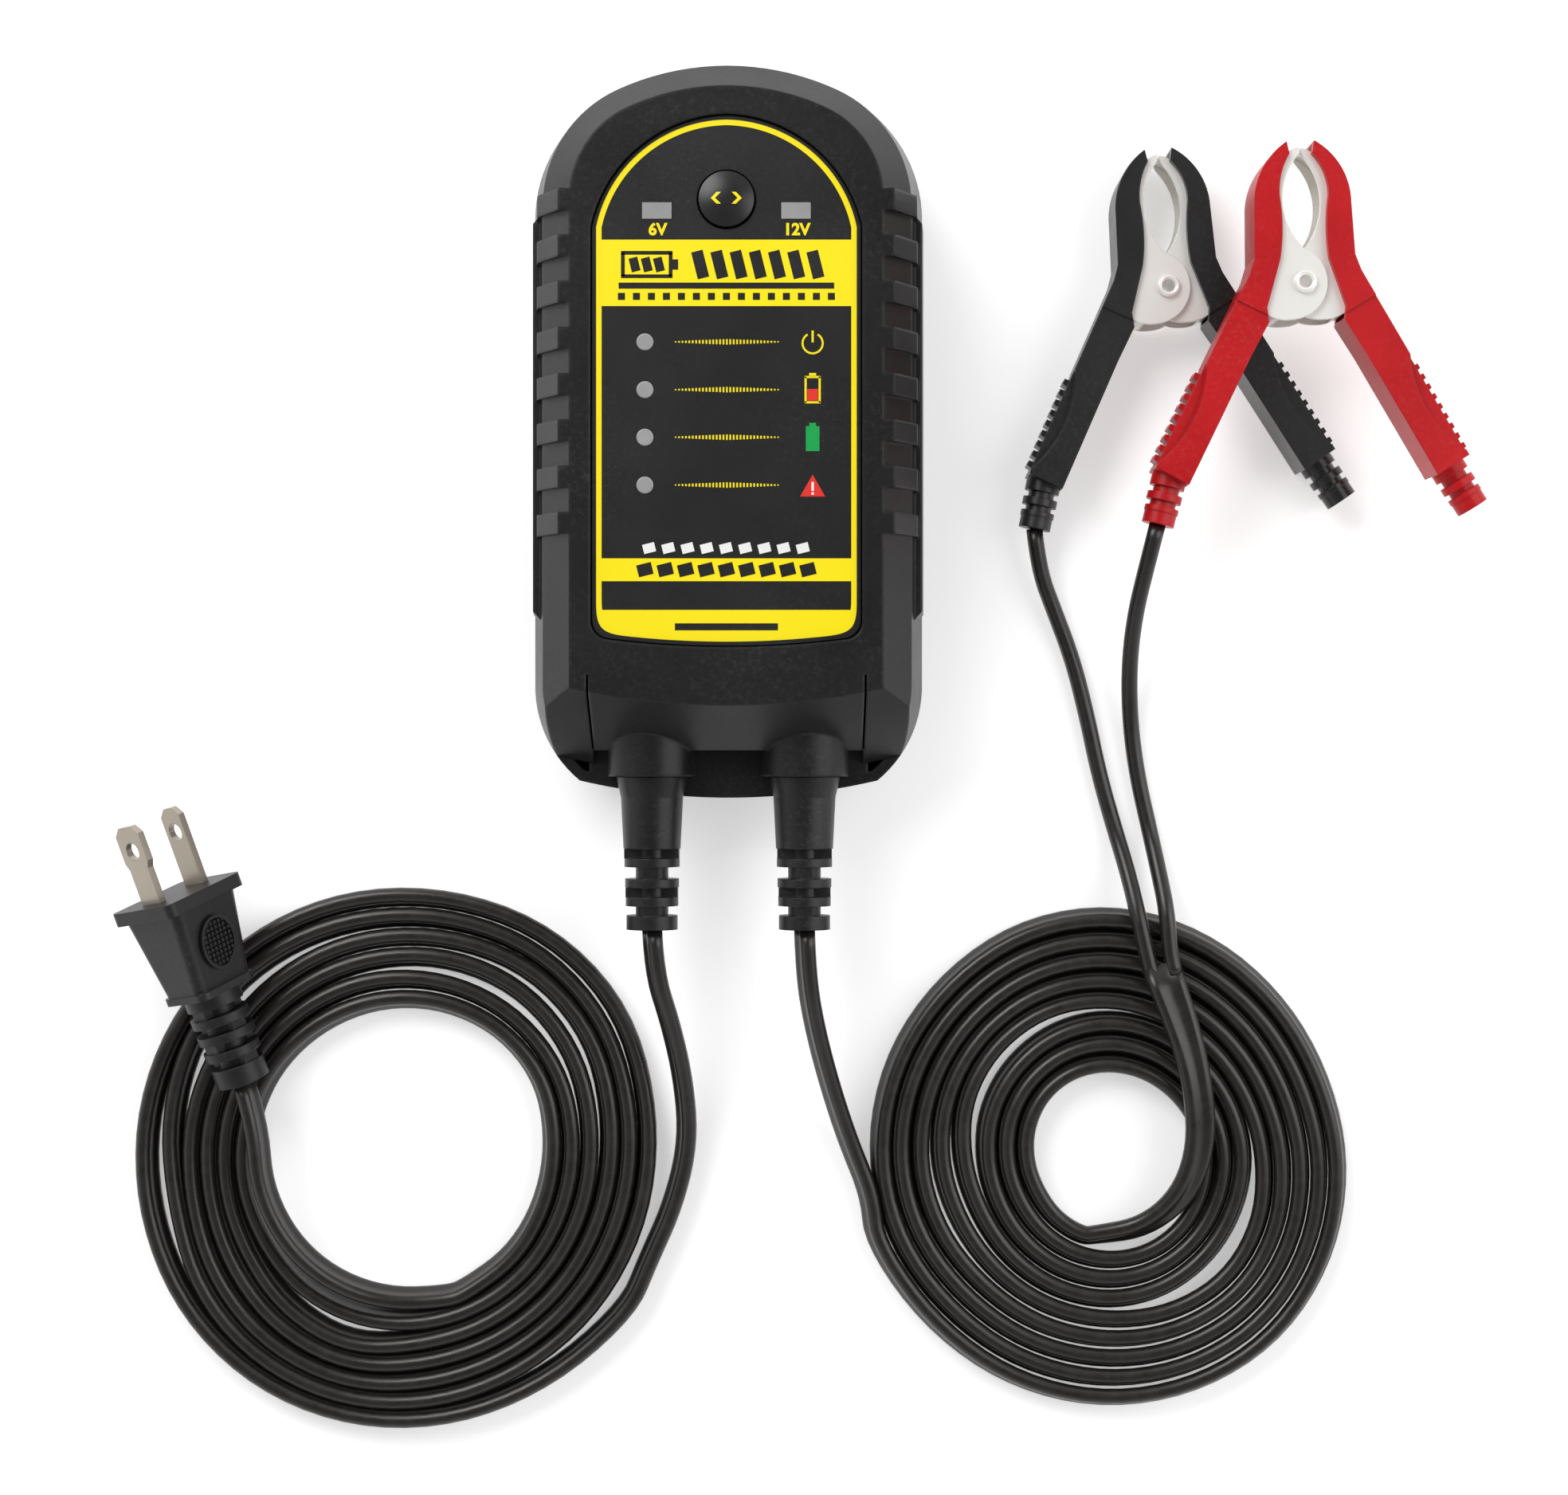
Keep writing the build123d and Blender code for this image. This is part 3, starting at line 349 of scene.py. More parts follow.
def build_grain():
    """Fine moulded grain: a height for the bump and a slow change of tone"""
    group, inside, outside = new_group(
        "moulded_grain",
        [("Vector", "NodeSocketVector", None), ("Scale", "NodeSocketFloat", 2500.0)],
        [("Height", "NodeSocketFloat"), ("Tone", "NodeSocketFloat")])
    place = inside.outputs["Vector"]
    fine = noise(group, place, inside.outputs["Scale"], 2.0, 0.6)
    broad = noise(group, place, 38.0, 4.0, 0.6)
    coarse = noise(group, place, math_node(group, "MULTIPLY", inside.outputs["Scale"], 0.35), 2.0, 0.5)
    height = math_node(group, "ADD", math_node(group, "MULTIPLY", fine, 0.65),
                       math_node(group, "MULTIPLY", coarse, 0.35))
    group.links.new(height, outside.inputs["Height"])
    group.links.new(broad, outside.inputs["Tone"])
    return group


def build_wear():
    """Edges where the surface is rubbed"""
    group, inside, outside = new_group(
        "edge_wear", [("Vector", "NodeSocketVector", None), ("Reach", "NodeSocketFloat", 0.0006)],
        [("Mask", "NodeSocketFloat")])
    bevel = group.nodes.new("ShaderNodeBevel")
    bevel.samples = 4
    group.links.new(inside.outputs["Reach"], bevel.inputs["Radius"])
    geometry = group.nodes.new("ShaderNodeNewGeometry")
    dot = group.nodes.new("ShaderNodeVectorMath")
    dot.operation = "DOT_PRODUCT"
    group.links.new(bevel.outputs["Normal"], dot.inputs[0])
    group.links.new(geometry.outputs["Normal"], dot.inputs[1])
    edge = span(group, dot.outputs["Value"], 0.995, 0.86)
    patch = span(group, noise(group, inside.outputs["Vector"], 260.0, 4.0, 0.7), 0.38, 0.62)
    group.links.new(math_node(group, "MULTIPLY", edge, patch, clamp=True), outside.inputs["Mask"])
    return group


def build_dust():
    """Thin dust that settles on what faces up"""
    group, inside, outside = new_group(
        "settled_dust", [("Vector", "NodeSocketVector", None), ("Amount", "NodeSocketFloat", 0.1)],
        [("Mask", "NodeSocketFloat")])
    geometry = group.nodes.new("ShaderNodeNewGeometry")
    split = group.nodes.new("ShaderNodeSeparateXYZ")
    group.links.new(geometry.outputs["Normal"], split.inputs[0])
    up = span(group, split.outputs["Z"], 0.3, 1.0)
    specks = span(group, noise(group, inside.outputs["Vector"], 900.0, 5.0, 0.8), 0.5, 0.75)
    cloud = span(group, noise(group, inside.outputs["Vector"], 30.0, 4.0, 0.6), 0.35, 0.8)
    both = math_node(group, "MULTIPLY", up, math_node(group, "MULTIPLY", specks, cloud))
    group.links.new(math_node(group, "MULTIPLY", both, inside.outputs["Amount"], clamp=True),
                    outside.inputs["Mask"])
    return group


def build_streaks():
    """Drawn lines along a cord, read from its own UV map"""
    group, inside, outside = new_group(
        "drawn_streaks", [("Vector", "NodeSocketVector", None)],
        [("Height", "NodeSocketFloat"), ("Tone", "NodeSocketFloat")])
    stretch = group.nodes.new("ShaderNodeMapping")
    stretch.inputs["Scale"].default_value = (14.0, 0.15, 1.0)
    group.links.new(inside.outputs["Vector"], stretch.inputs["Vector"])
    lines = noise(group, stretch.outputs["Vector"], 1.0, 3.0, 0.6)
    scuffs = noise(group, inside.outputs["Vector"], 3.0, 5.0, 0.7)
    group.links.new(lines, outside.inputs["Height"])
    group.links.new(scuffs, outside.inputs["Tone"])
    return group


grain = build_grain()
wear = build_wear()
dust = build_dust()
streaks = build_streaks()


def place_group(tree, group, place, **values):
    """A shared effect in a material, with its own values"""
    node = tree.nodes.new("ShaderNodeGroup")
    node.node_tree = group
    tree.links.new(place, node.inputs["Vector"])
    for label, value in values.items():
        node.inputs[label].default_value = value
    return node


def blend_colour(tree, share, low, high):
    """A colour between two, by a share"""
    node = tree.nodes.new("ShaderNodeMix")
    node.data_type = "RGBA"
    if hasattr(share, "is_output"):
        tree.links.new(share, node.inputs["Factor"])
    else:
        node.inputs["Factor"].default_value = share
    for socket, value in ((node.inputs[6], low), (node.inputs[7], high)):
        if hasattr(value, "is_output"):
            tree.links.new(value, socket)
        else:
            socket.default_value = (*value, 1.0)
    return node.outputs[2]


def start_material(name):
    """A new material with its nodes and its surface shader"""
    material = bpy.data.materials.new(name)
    material.use_nodes = True
    tree = material.node_tree
    return material, tree, tree.nodes["Principled BSDF"]


def bump(tree, shader, height, depth, edge=0.0):
    """A bump in metres on the shader's normal, over rounded edges where edge isn't 0"""
    node = tree.nodes.new("ShaderNodeBump")
    node.inputs["Strength"].default_value = 1.0
    node.inputs["Distance"].default_value = depth
    tree.links.new(height, node.inputs["Height"])
    if edge:
        rounded = tree.nodes.new("ShaderNodeBevel")
        rounded.samples = 4
        rounded.inputs["Radius"].default_value = edge
        tree.links.new(rounded.outputs["Normal"], node.inputs["Normal"])
    tree.links.new(node.outputs["Normal"], shader.inputs["Normal"])


def plastic(name, colour, worn, rough, scale=2500.0, depth=0.00004, edge=0.0004, wear_share=0.35,
            dust_share=0.08, specular=0.5):
    """Moulded plastic: grain, slow tone, rubbed edges and a little dust"""
    material, tree, shader = start_material(name)
    place = object_place(tree)
    skin = place_group(tree, grain, place, Scale=scale)
    rubbed = place_group(tree, wear, place, Reach=max(edge, 0.0003))
    fallen = place_group(tree, dust, place, Amount=dust_share)
    tone = span(tree, skin.outputs["Tone"], 0.3, 0.7)
    deep = tuple(c * 0.8 for c in colour)
    base = blend_colour(tree, tone, deep, colour)
    base = blend_colour(tree, math_node(tree, "MULTIPLY", rubbed.outputs["Mask"], wear_share), base, worn)
    base = blend_colour(tree, fallen.outputs["Mask"], base, (0.55, 0.54, 0.52))
    tree.links.new(base, shader.inputs["Base Color"])
    tree.links.new(span(tree, skin.outputs["Tone"], 0.3, 0.7, rough - 0.05, rough + 0.06),
                   shader.inputs["Roughness"])
    shader.inputs["Specular IOR Level"].default_value = specular
    bump(tree, shader, skin.outputs["Height"], depth, edge)
    return material


def cord_vinyl(name, colour, rough):
    """Extruded vinyl with drawn lines along it and a few scuffs"""
    material, tree, shader = start_material(name)
    uv = tree.nodes.new("ShaderNodeUVMap")
    uv.uv_map = "along_cord"
    drawn = place_group(tree, streaks, uv.outputs["UV"])
    tone = span(tree, drawn.outputs["Tone"], 0.35, 0.7)
    base = blend_colour(tree, tone, tuple(c * 0.75 for c in colour), tuple(c * 1.25 for c in colour))
    tree.links.new(base, shader.inputs["Base Color"])
    tree.links.new(span(tree, drawn.outputs["Tone"], 0.3, 0.75, rough - 0.06, rough + 0.1),
                   shader.inputs["Roughness"])
    bump(tree, shader, drawn.outputs["Height"], 0.000012)
    return material


def metal(name, colour, rough, wear_colour, metallic=1.0, tarnish=0.35):
    """Plated metal with faint cloudy patches and edges that are rubbed darker"""
    material, tree, shader = start_material(name)
    place = object_place(tree)
    rubbed = place_group(tree, wear, place, Reach=0.0004)
    cloud = noise(tree, place, 60.0, 4.0, 0.6)
    base = blend_colour(tree, math_node(tree, "MULTIPLY", span(tree, cloud, 0.4, 0.75), tarnish), colour,
                        wear_colour)
    base = blend_colour(tree, math_node(tree, "MULTIPLY", rubbed.outputs["Mask"], 0.6), base,
                        tuple(c * 0.45 for c in wear_colour))
    tree.links.new(base, shader.inputs["Base Color"])
    tree.links.new(span(tree, cloud, 0.3, 0.7, rough - 0.04, rough + 0.05), shader.inputs["Roughness"])
    shader.inputs["Metallic"].default_value = metallic
    bump(tree, shader, noise(tree, place, 700.0, 2.0, 0.5), 0.000006, 0.0003)
    return material


case_plastic = plastic("case_plastic", (0.0115, 0.0112, 0.0115), (0.035, 0.034, 0.033), 0.36, edge=0.0009,
                       specular=0.28)
foot_rubber = plastic("foot_rubber", (0.012, 0.012, 0.012), (0.05, 0.05, 0.05), 0.8, 1200.0, 0.00006)
cord_skin = cord_vinyl("cord_skin", (0.0150, 0.0125, 0.0115), 0.30)
relief_vinyl = plastic("relief_vinyl", (0.008, 0.0078, 0.0078), (0.03, 0.03, 0.03), 0.36, 1800.0, 0.00005,
                       specular=0.4)
plug_vinyl = plastic("plug_vinyl", (0.0095, 0.0093, 0.0098), (0.03, 0.03, 0.03), 0.42, 1700.0, 0.00005,
                     specular=0.4)
grip_black = plastic("grip_black", (0.0095, 0.0092, 0.0098), (0.035, 0.035, 0.035), 0.34, 1500.0, 0.00003)
grip_red = plastic("grip_red", (0.52, 0.004, 0.008), (0.62, 0.05, 0.04), 0.38, 1500.0, 0.00003,
                   wear_share=0.2, specular=0.28)
jaw_nickel = metal("jaw_nickel", (0.97, 0.96, 0.92), 0.22, (0.82, 0.79, 0.72), 0.3, 0.2)
blade_nickel = metal("blade_nickel", (0.40, 0.35, 0.29), 0.25, (0.30, 0.25, 0.19), 0.6, 0.4)
screw_zinc = metal("screw_zinc", (0.6, 0.6, 0.6), 0.3, (0.4, 0.38, 0.35))
spring_steel = metal("spring_steel", (0.55, 0.54, 0.52), 0.28, (0.35, 0.33, 0.3))
lens_frosted = plastic("lens_frosted", (0.33, 0.33, 0.33), (0.6, 0.6, 0.6), 0.3, 1500.0, 0.00002, 0.0002, 0.2)
board_green = plastic("board_green", (0.02, 0.16, 0.05), (0.35, 0.30, 0.1), 0.4, 900.0, 0.00002)
part_black = plastic("part_black", (0.02, 0.02, 0.02), (0.08, 0.08, 0.08), 0.5, 1500.0, 0.00002)
ferrite = plastic("ferrite", (0.06, 0.06, 0.062), (0.12, 0.12, 0.12), 0.7, 1500.0, 0.00004)
coil_tape = plastic("coil_tape", (0.62, 0.42, 0.05), (0.7, 0.6, 0.2), 0.4, 600.0, 0.00003)
sleeve_blue = plastic("sleeve_blue", (0.03, 0.04, 0.12), (0.2, 0.2, 0.25), 0.35, 800.0, 0.00002)
relay_blue = plastic("relay_blue", (0.05, 0.12, 0.3), (0.2, 0.3, 0.4), 0.45, 1200.0, 0.00002)
sink_metal = metal("sink_metal", (0.7, 0.7, 0.71), 0.35, (0.5, 0.5, 0.5))
fuse_glass = metal("fuse_glass", (0.75, 0.76, 0.76), 0.2, (0.5, 0.5, 0.5))
led_clear = plastic("led_clear", (0.5, 0.6, 0.5), (0.7, 0.7, 0.7), 0.2, 800.0, 0.00001)

for cord in (mains_cord, output_cord, black_wire, red_wire):
    cord.data.materials.append(cord_skin)


def dress(node, material):
    """A new finish for a node that keeps its shape"""
    piece = nodes[node]
    if not piece.material_slots:
        piece.data.materials.append(material)
    for slot in piece.material_slots:
        slot.material = material


finishes = {
    case_plastic: ("front_cover", "back_cover"), foot_rubber: ("rubber_feet",),
    relief_vinyl: ("mains_strain_relief", "output_strain_relief"),
    plug_vinyl: ("plug_body",), blade_nickel: ("plug_blade_wide", "plug_blade_narrow"),
    grip_black: ("black_left_grip", "black_right_grip"), grip_red: ("red_left_grip", "red_right_grip"),
    jaw_nickel: ("black_left_jaw", "black_right_jaw", "red_left_jaw", "red_right_jaw", "black_rivet",
                 "red_rivet"),
    screw_zinc: ("case_screws", "board_screws"),
    lens_frosted: ("window_6v", "window_12v", "lens_power", "lens_charging", "lens_charged", "lens_fault"),
    board_green: ("circuit_board",), part_black: ("tact_switch", "power_transistor"),
    ferrite: ("transformer_core",), coil_tape: ("transformer_coil",),
    sleeve_blue: ("mains_capacitor", "output_capacitors"), relay_blue: ("output_relay",),
    sink_metal: ("heat_sink",), fuse_glass: ("mains_fuse",), led_clear: ("status_leds",),
}
for material, names in finishes.items():
    for node in names:
        dress(node, material)


# -------------------------------------------------------------- label print
yellow = (0.93, 0.76, 0.0)
label_black = (0.006, 0.006, 0.006)
label_low, label_high = (Vector(corner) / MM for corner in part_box("label_plate"))
arch_foot = (label_high.x, 41.5)
well_half_width = 29.0
arch_flank = (0.74 * well_half_width, 55.55)
bottom_rise = 2.1
line_inset = (0.85, 2.0)
yellow_rows = ((24.55, 38.7), (-34.15, -29.3), (-60.0, -40.3))
button_y = sum(corner[1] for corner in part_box("select_button")) / 2 / MM


def circle_through(first, second, third):
    """Centre and radius of the circle through three points"""
    (ax, ay), (bx, by), (cx, cy) = first, second, third
    turn = 2 * (ax * (by - cy) + bx * (cy - ay) + cx * (ay - by))
    squares = (ax * ax + ay * ay, bx * bx + by * by, cx * cx + cy * cy)
    x = (squares[0] * (by - cy) + squares[1] * (cy - ay) + squares[2] * (ay - by)) / turn
    y = (squares[0] * (cx - bx) + squares[1] * (ax - cx) + squares[2] * (bx - ax)) / turn
    return x, y, hypot(ax - x, ay - y)


def round_inset(tree, across, along, circle, low=None):
    """How far inside a circle a point is"""
    x, y, radius = circle
    over = math_node(tree, "SUBTRACT", along, y)
    if low is not None:
        over = math_node(tree, "MAXIMUM", over, low)
    out = math_node(tree, "SUBTRACT", across, x)
    squares = math_node(tree, "MULTIPLY_ADD", out, out, math_node(tree, "MULTIPLY", over, over))
    return math_node(tree, "SUBTRACT", radius, math_node(tree, "SQRT", squares))


def build_label_inset():
    """Millimetres from the label's outline, positive inside it"""
    group, inside, outside = new_group(
        "label_inset", [("Vector", "NodeSocketVector", None)], [("Inset", "NodeSocketFloat")])
    split = group.nodes.new("ShaderNodeSeparateXYZ")
    group.links.new(inside.outputs["Vector"], split.inputs[0])
    across = math_node(group, "ABSOLUTE", split.outputs["X"])
    along = split.outputs["Y"]
    arch = circle_through(arch_foot, arch_flank, (0.0, label_high.y))
    corner = (label_high.x, label_low.y + bottom_rise)
    bottom = circle_through(corner, (0.0, label_low.y), (-corner[0], corner[1]))
    side = math_node(group, "SUBTRACT", label_high.x, across)
    low = math_node(group, "SMOOTH_MIN", side, round_inset(group, across, along, bottom), 7.0)
    inset = math_node(group, "MINIMUM", low, round_inset(group, across, along, arch, 0.0))
    group.links.new(inset, outside.inputs["Inset"])
    return group


def build_print_row():
    """1 between two values, with a crisp edge"""
    group, inside, outside = new_group(
        "print_row", [("Value", "NodeSocketFloat", 0.0), ("Low", "NodeSocketFloat", 0.0),
                      ("High", "NodeSocketFloat", 1.0)], [("Mask", "NodeSocketFloat")])
    sides = [math_node(group, "SUBTRACT", inside.outputs[a], inside.outputs[b])
             for a, b in (("Value", "Low"), ("High", "Value"))]
    masks = [math_node(group, "MULTIPLY_ADD", side, 12.0, 0.5, clamp=True) for side in sides]
    group.links.new(math_node(group, "MULTIPLY", *masks), outside.inputs["Mask"])
    return group


label_inset = build_label_inset()
print_row = build_print_row()


def row(tree, value, low, high):
    """Mask of what lies between two values"""
    node = tree.nodes.new("ShaderNodeGroup")
    node.node_tree = print_row
    tree.links.new(value, node.inputs["Value"])
    node.inputs["Low"].default_value = low
    node.inputs["High"].default_value = high
    return node.outputs["Mask"]


def in_millimetres(tree, place):
    """A place in millimetres"""
    scaled = tree.nodes.new("ShaderNodeVectorMath")
    scaled.operation = "SCALE"
    scaled.inputs["Scale"].default_value = 1 / MM
    tree.links.new(place, scaled.inputs[0])
    return scaled.outputs["Vector"]


def ink(name, colour, rough=0.38):
    """Printed ink: an even tone with fine grain and a trace of dust"""
    material, tree, shader = start_material(name)
    place = object_place(tree)
    skin = place_group(tree, grain, place, Scale=3000.0)
    fallen = place_group(tree, dust, place, Amount=0.05)
    tone = span(tree, skin.outputs["Tone"], 0.3, 0.7)
    base = blend_colour(tree, tone, tuple(c * 0.92 for c in colour), colour)
    base = blend_colour(tree, fallen.outputs["Mask"], base, (0.55, 0.54, 0.52))
    tree.links.new(base, shader.inputs["Base Color"])
    tree.links.new(span(tree, skin.outputs["Tone"], 0.3, 0.7, rough - 0.04, rough + 0.05),
                   shader.inputs["Roughness"])
    bump(tree, shader, skin.outputs["Height"], 0.00001)
    return material, tree, shader, place, base


def label_print():
    """Black overlay with a yellow border that follows its outline, and yellow bands"""
    material, tree, shader, place, base = ink("label_print", label_black)
    spot = in_millimetres(tree, place)
    inset = place_group(tree, label_inset, spot).outputs["Inset"]
    split = tree.nodes.new("ShaderNodeSeparateXYZ")
    tree.links.new(spot, split.inputs[0])
    bands = row(tree, split.outputs["Y"], *yellow_rows[0])
    for low, high in yellow_rows[1:]:
        bands = math_node(tree, "MAXIMUM", bands, row(tree, split.outputs["Y"], low, high))
    bands = math_node(tree, "MULTIPLY", bands, row(tree, inset, line_inset[0], 2 * label_high.x))
    printed = math_node(tree, "MAXIMUM", bands, row(tree, inset, *line_inset))
    tree.links.new(blend_colour(tree, printed, base, yellow), shader.inputs["Base Color"])
    return material


def button_print():
    """Satin black dome with a yellow arrow to each side"""
    material, tree, shader, place, base = ink("button_print", (0.0085, 0.0085, 0.009), 0.33)
    split = tree.nodes.new("ShaderNodeSeparateXYZ")
    tree.links.new(in_millimetres(tree, place), split.inputs[0])
    across = math_node(tree, "ABSOLUTE", split.outputs["X"])
    along = math_node(tree, "ABSOLUTE", math_node(tree, "SUBTRACT", split.outputs["Y"], button_y))
    arrow = row(tree, math_node(tree, "ADD", across, along), 2.4, 3.3)
    arrow = math_node(tree, "MULTIPLY", arrow, row(tree, along, -1.0, 1.25))
    tree.links.new(blend_colour(tree, arrow, base, yellow), shader.inputs["Base Color"])
    return material


dress("label_plate", label_print())
dress("select_button", button_print())


# -------------------------------------------------------------- label marks
mark_z = label_high.z - 0.02
mark_thick = 0.06
led_rows = [sum(corner[1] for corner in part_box(f"lens_{name}")) / 2 / MM
            for name in ("power", "charging", "charged", "fault")]
icon_x = 18.4
slant = -14


def open_piece(name):
    """An empty mesh, opened in edit mode with nothing else selected"""
    bpy.ops.object.select_all(action="DESELECT")
    piece = bpy.data.objects.new(name, bpy.data.meshes.new(name))
    bpy.context.scene.collection.objects.link(piece)
    bpy.context.view_layer.objects.active = piece
    piece.select_set(True)
    bpy.ops.object.mode_set(mode="EDIT")
    return piece


def plate(x, y, wide, high, turn=0.0, z=mark_z):
    """A flat rectangle in the mesh that is being edited"""
    bpy.ops.mesh.primitive_plane_add(size=1.0, location=mm(x, y, z))
    bpy.ops.transform.resize(value=(wide * MM, high * MM, 1.0), center_override=mm(x, y, z))
    if turn:
        bpy.ops.transform.rotate(value=radians(turn), orient_axis="Z", center_override=mm(x, y, z))


def close_piece(piece, material, body="root", thick=mark_thick):
    """Give the flat shapes their thickness and finish the piece"""
    bpy.ops.mesh.select_all(action="SELECT")
    bpy.ops.mesh.extrude_region_move(TRANSFORM_OT_translate={"value": (0, 0, thick * MM)})
    bpy.ops.mesh.select_all(action="SELECT")
    bpy.ops.mesh.normals_make_consistent(inside=False)
    bpy.ops.object.mode_set(mode="OBJECT")
    piece.data.materials.append(material)
    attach(piece, body)
    return piece


def mark(name, rectangles, material):
    """A printed sign made of thin rectangles"""
    piece = open_piece(name)
    for rectangle in rectangles:
        plate(*rectangle)
    return close_piece(piece, material)


def level_dashes(number, y):
    """A row of fine bars, tallest in the middle"""
    count = 31
    first, last = -10.83, 11.03
    bars = []
    for at in range(count):
        share = at / (count - 1)
        tall = 0.22 + 0.93 * (1 - abs(2 * share - 1)) ** 0.8
        bars.append((first + (last - first) * share, y, 0.36, tall))
    mark(f"level_dashes_{number}", bars, ink_yellow)


def power_sign(y):
    """Open ring with a stroke through its gap"""
    piece = open_piece("power_sign")
    bpy.ops.mesh.primitive_circle_add(vertices=48, radius=1.95 * MM, location=mm(icon_x, y, mark_z))
    bpy.ops.mesh.select_all(action="DESELECT")
    bpy.ops.object.mode_set(mode="OBJECT")
    for vertex in piece.data.vertices:
        x, up = vertex.co.x / MM - icon_x, vertex.co.y / MM - y
        vertex.select = up > 0 and abs(x) < 0.95
    bpy.ops.object.mode_set(mode="EDIT")
    bpy.ops.mesh.delete(type="VERT")
    bpy.ops.mesh.select_all(action="SELECT")
    bpy.ops.mesh.extrude_edges_move()
    bpy.ops.transform.resize(value=(1.21, 1.21, 1.0), center_override=mm(icon_x, y, mark_z))
    plate(icon_x, y + 1.45, 0.45, 2.5)
    close_piece(piece, ink_yellow)


def fault_triangle(y):
    """Triangle behind the fault stroke"""
    piece = open_piece("fault_sign")
    bpy.ops.mesh.primitive_circle_add(vertices=3, radius=3.1 * MM, fill_type="NGON",
                                      location=mm(icon_x, y, mark_z))
    close_piece(piece, ink_red)


def numerals(name, text, x, y):
    """Voltage figures, made a mesh before they are placed"""
    bpy.ops.object.select_all(action="DESELECT")
    bpy.ops.object.text_add()
    piece = bpy.context.object
    piece.name = name
    piece.data.body = text
    piece.data.size = 3.5 * MM
    piece.data.offset = 0.13 * MM
    piece.data.extrude = mark_thick * MM / 2
    piece.data.align_x = "CENTER"
    piece.data.align_y = "CENTER"
    piece.data.resolution_u = 4
    bpy.ops.object.convert(target="MESH")
    piece = bpy.context.object
    piece.location = mm(x, y, mark_z + mark_thick / 2)
    bpy.ops.object.transform_apply(location=True, rotation=True, scale=True)
    piece.data.materials.append(ink_yellow)
    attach(piece, "root")


ink_yellow = ink("ink_yellow", yellow)[0]
ink_black = ink("ink_black", label_black)[0]
ink_white = ink("ink_white", (0.85, 0.85, 0.84))[0]
ink_red = ink("ink_red", (0.75, 0.03, 0.02))[0]
ink_green = ink("ink_green", (0.0, 0.36, 0.07))[0]
for number, y in enumerate(led_rows):
    level_dashes(number + 1, y)
power_y, charging_y, charged_y, fault_y = led_rows
power_sign(power_y - 0.3)
mark("battery_sign", [(icon_x - 1.5, charging_y, 0.45, 5.6), (icon_x + 1.5, charging_y, 0.45, 5.6),
                      (icon_x, charging_y - 2.7, 3.4, 0.45), (icon_x, charging_y + 2.7, 3.4, 0.45),
                      (icon_x, charging_y + 3.2, 1.5, 0.7)], ink_yellow)
mark("battery_low_sign", [(icon_x, charging_y - 1.1, 2.3, 2.5)], ink_red)
mark("battery_full_sign", [(icon_x, charged_y - 0.3, 2.9, 5.3), (icon_x, charged_y + 2.7, 1.4, 0.7)],
     ink_green)
fault_triangle(fault_y - 0.9)
over_mark_z = mark_z + 0.03
mark("fault_stroke", [(icon_x, fault_y - 0.3, 0.5, 1.9, 0.0, over_mark_z),
                      (icon_x, fault_y - 1.8, 0.5, 0.5, 0.0, over_mark_z)], ink_white)
numerals("numerals_6v", "6V", -14.7, 40.8)
numerals("numerals_12v", "12V", 15.0, 40.8)
mark("title_battery", [(-17.0, 35.9, 11.0, 0.8), (-17.0, 30.9, 11.0, 0.8), (-22.1, 33.4, 0.8, 5.0),
                       (-11.9, 33.4, 0.8, 5.0), (-10.9, 33.4, 1.2, 2.2), (-19.6, 33.4, 1.9, 3.0, slant),
                       (-17.0, 33.4, 1.9, 3.0, slant), (-14.4, 33.4, 1.9, 3.0, slant)], ink_black)
mark("title_slashes", [(-5.6 + 4.1 * at, 33.4, 2.5, 5.9, slant) for at in range(7)], ink_black)
title_dots = [(-22.4 + 3.2 * at, 26.6, 1.5, 1.5) for at in range(15)]
mark("title_bar", [(0.0, 28.9, 46.0, 1.3), *title_dots], ink_black)
mark("band_slashes", [(-16.5 + 4.1 * at, -27.1, 2.6, 2.0, slant) for at in range(9)], ink_white)
mark("band_bars", [(-17.4 + 4.35 * at, -31.7, 3.2, 2.6, slant) for at in range(9)], ink_black)
mark("foot_bar", [(0.0, -43.9, 22.0, 1.5)], ink_black)


# ------------------------------------------------- clamp eyelets and springs
spring_wire_radius = 0.6
spring_coil_radius = 3.7
spring_turns = 5
clamp_turns = {"black": 4.5, "red": 2.3}


def node_middle(node):
    """Middle and highest corner of a node's box, in millimetres"""
    low, high = (Vector(corner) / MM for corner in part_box(node))
    return (low + high) / 2, high


def finish_piece(piece, material, body="root"):
    """Smooth a closed piece, put its place into its mesh and give it its finish"""
    bpy.ops.object.mode_set(mode="EDIT")
    bpy.ops.mesh.select_all(action="SELECT")
    bpy.ops.mesh.remove_doubles(threshold=0.000001)
    bpy.ops.mesh.normals_make_consistent(inside=False)
    bpy.ops.object.mode_set(mode="OBJECT")
    bpy.ops.object.transform_apply(location=True, rotation=True, scale=True)
    bpy.ops.object.shade_smooth_by_angle(angle=radians(40))
    piece.data.materials.append(material)
    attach(piece, body)


def eyelet_ring(colour):
    """Rolled lip of the eyelet on the clamp's upper face"""
    middle, high = node_middle(f"{colour}_rivet")
    bpy.ops.object.select_all(action="DESELECT")
    bpy.ops.mesh.primitive_torus_add(major_radius=1.95 * MM, minor_radius=0.6 * MM, major_segments=40,
                                     minor_segments=14, location=mm(middle.x, middle.y, high.z - 0.35))
    ring = bpy.context.object
    ring.name = f"{colour}_eyelet_ring"
    finish_piece(ring, jaw_nickel)
    return ring


def spring_half(colour):
    """Half the spring's length along its rivet"""
    low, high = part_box(f"{colour}_spring")
    return (high[2] - low[2]) / 2 / MM


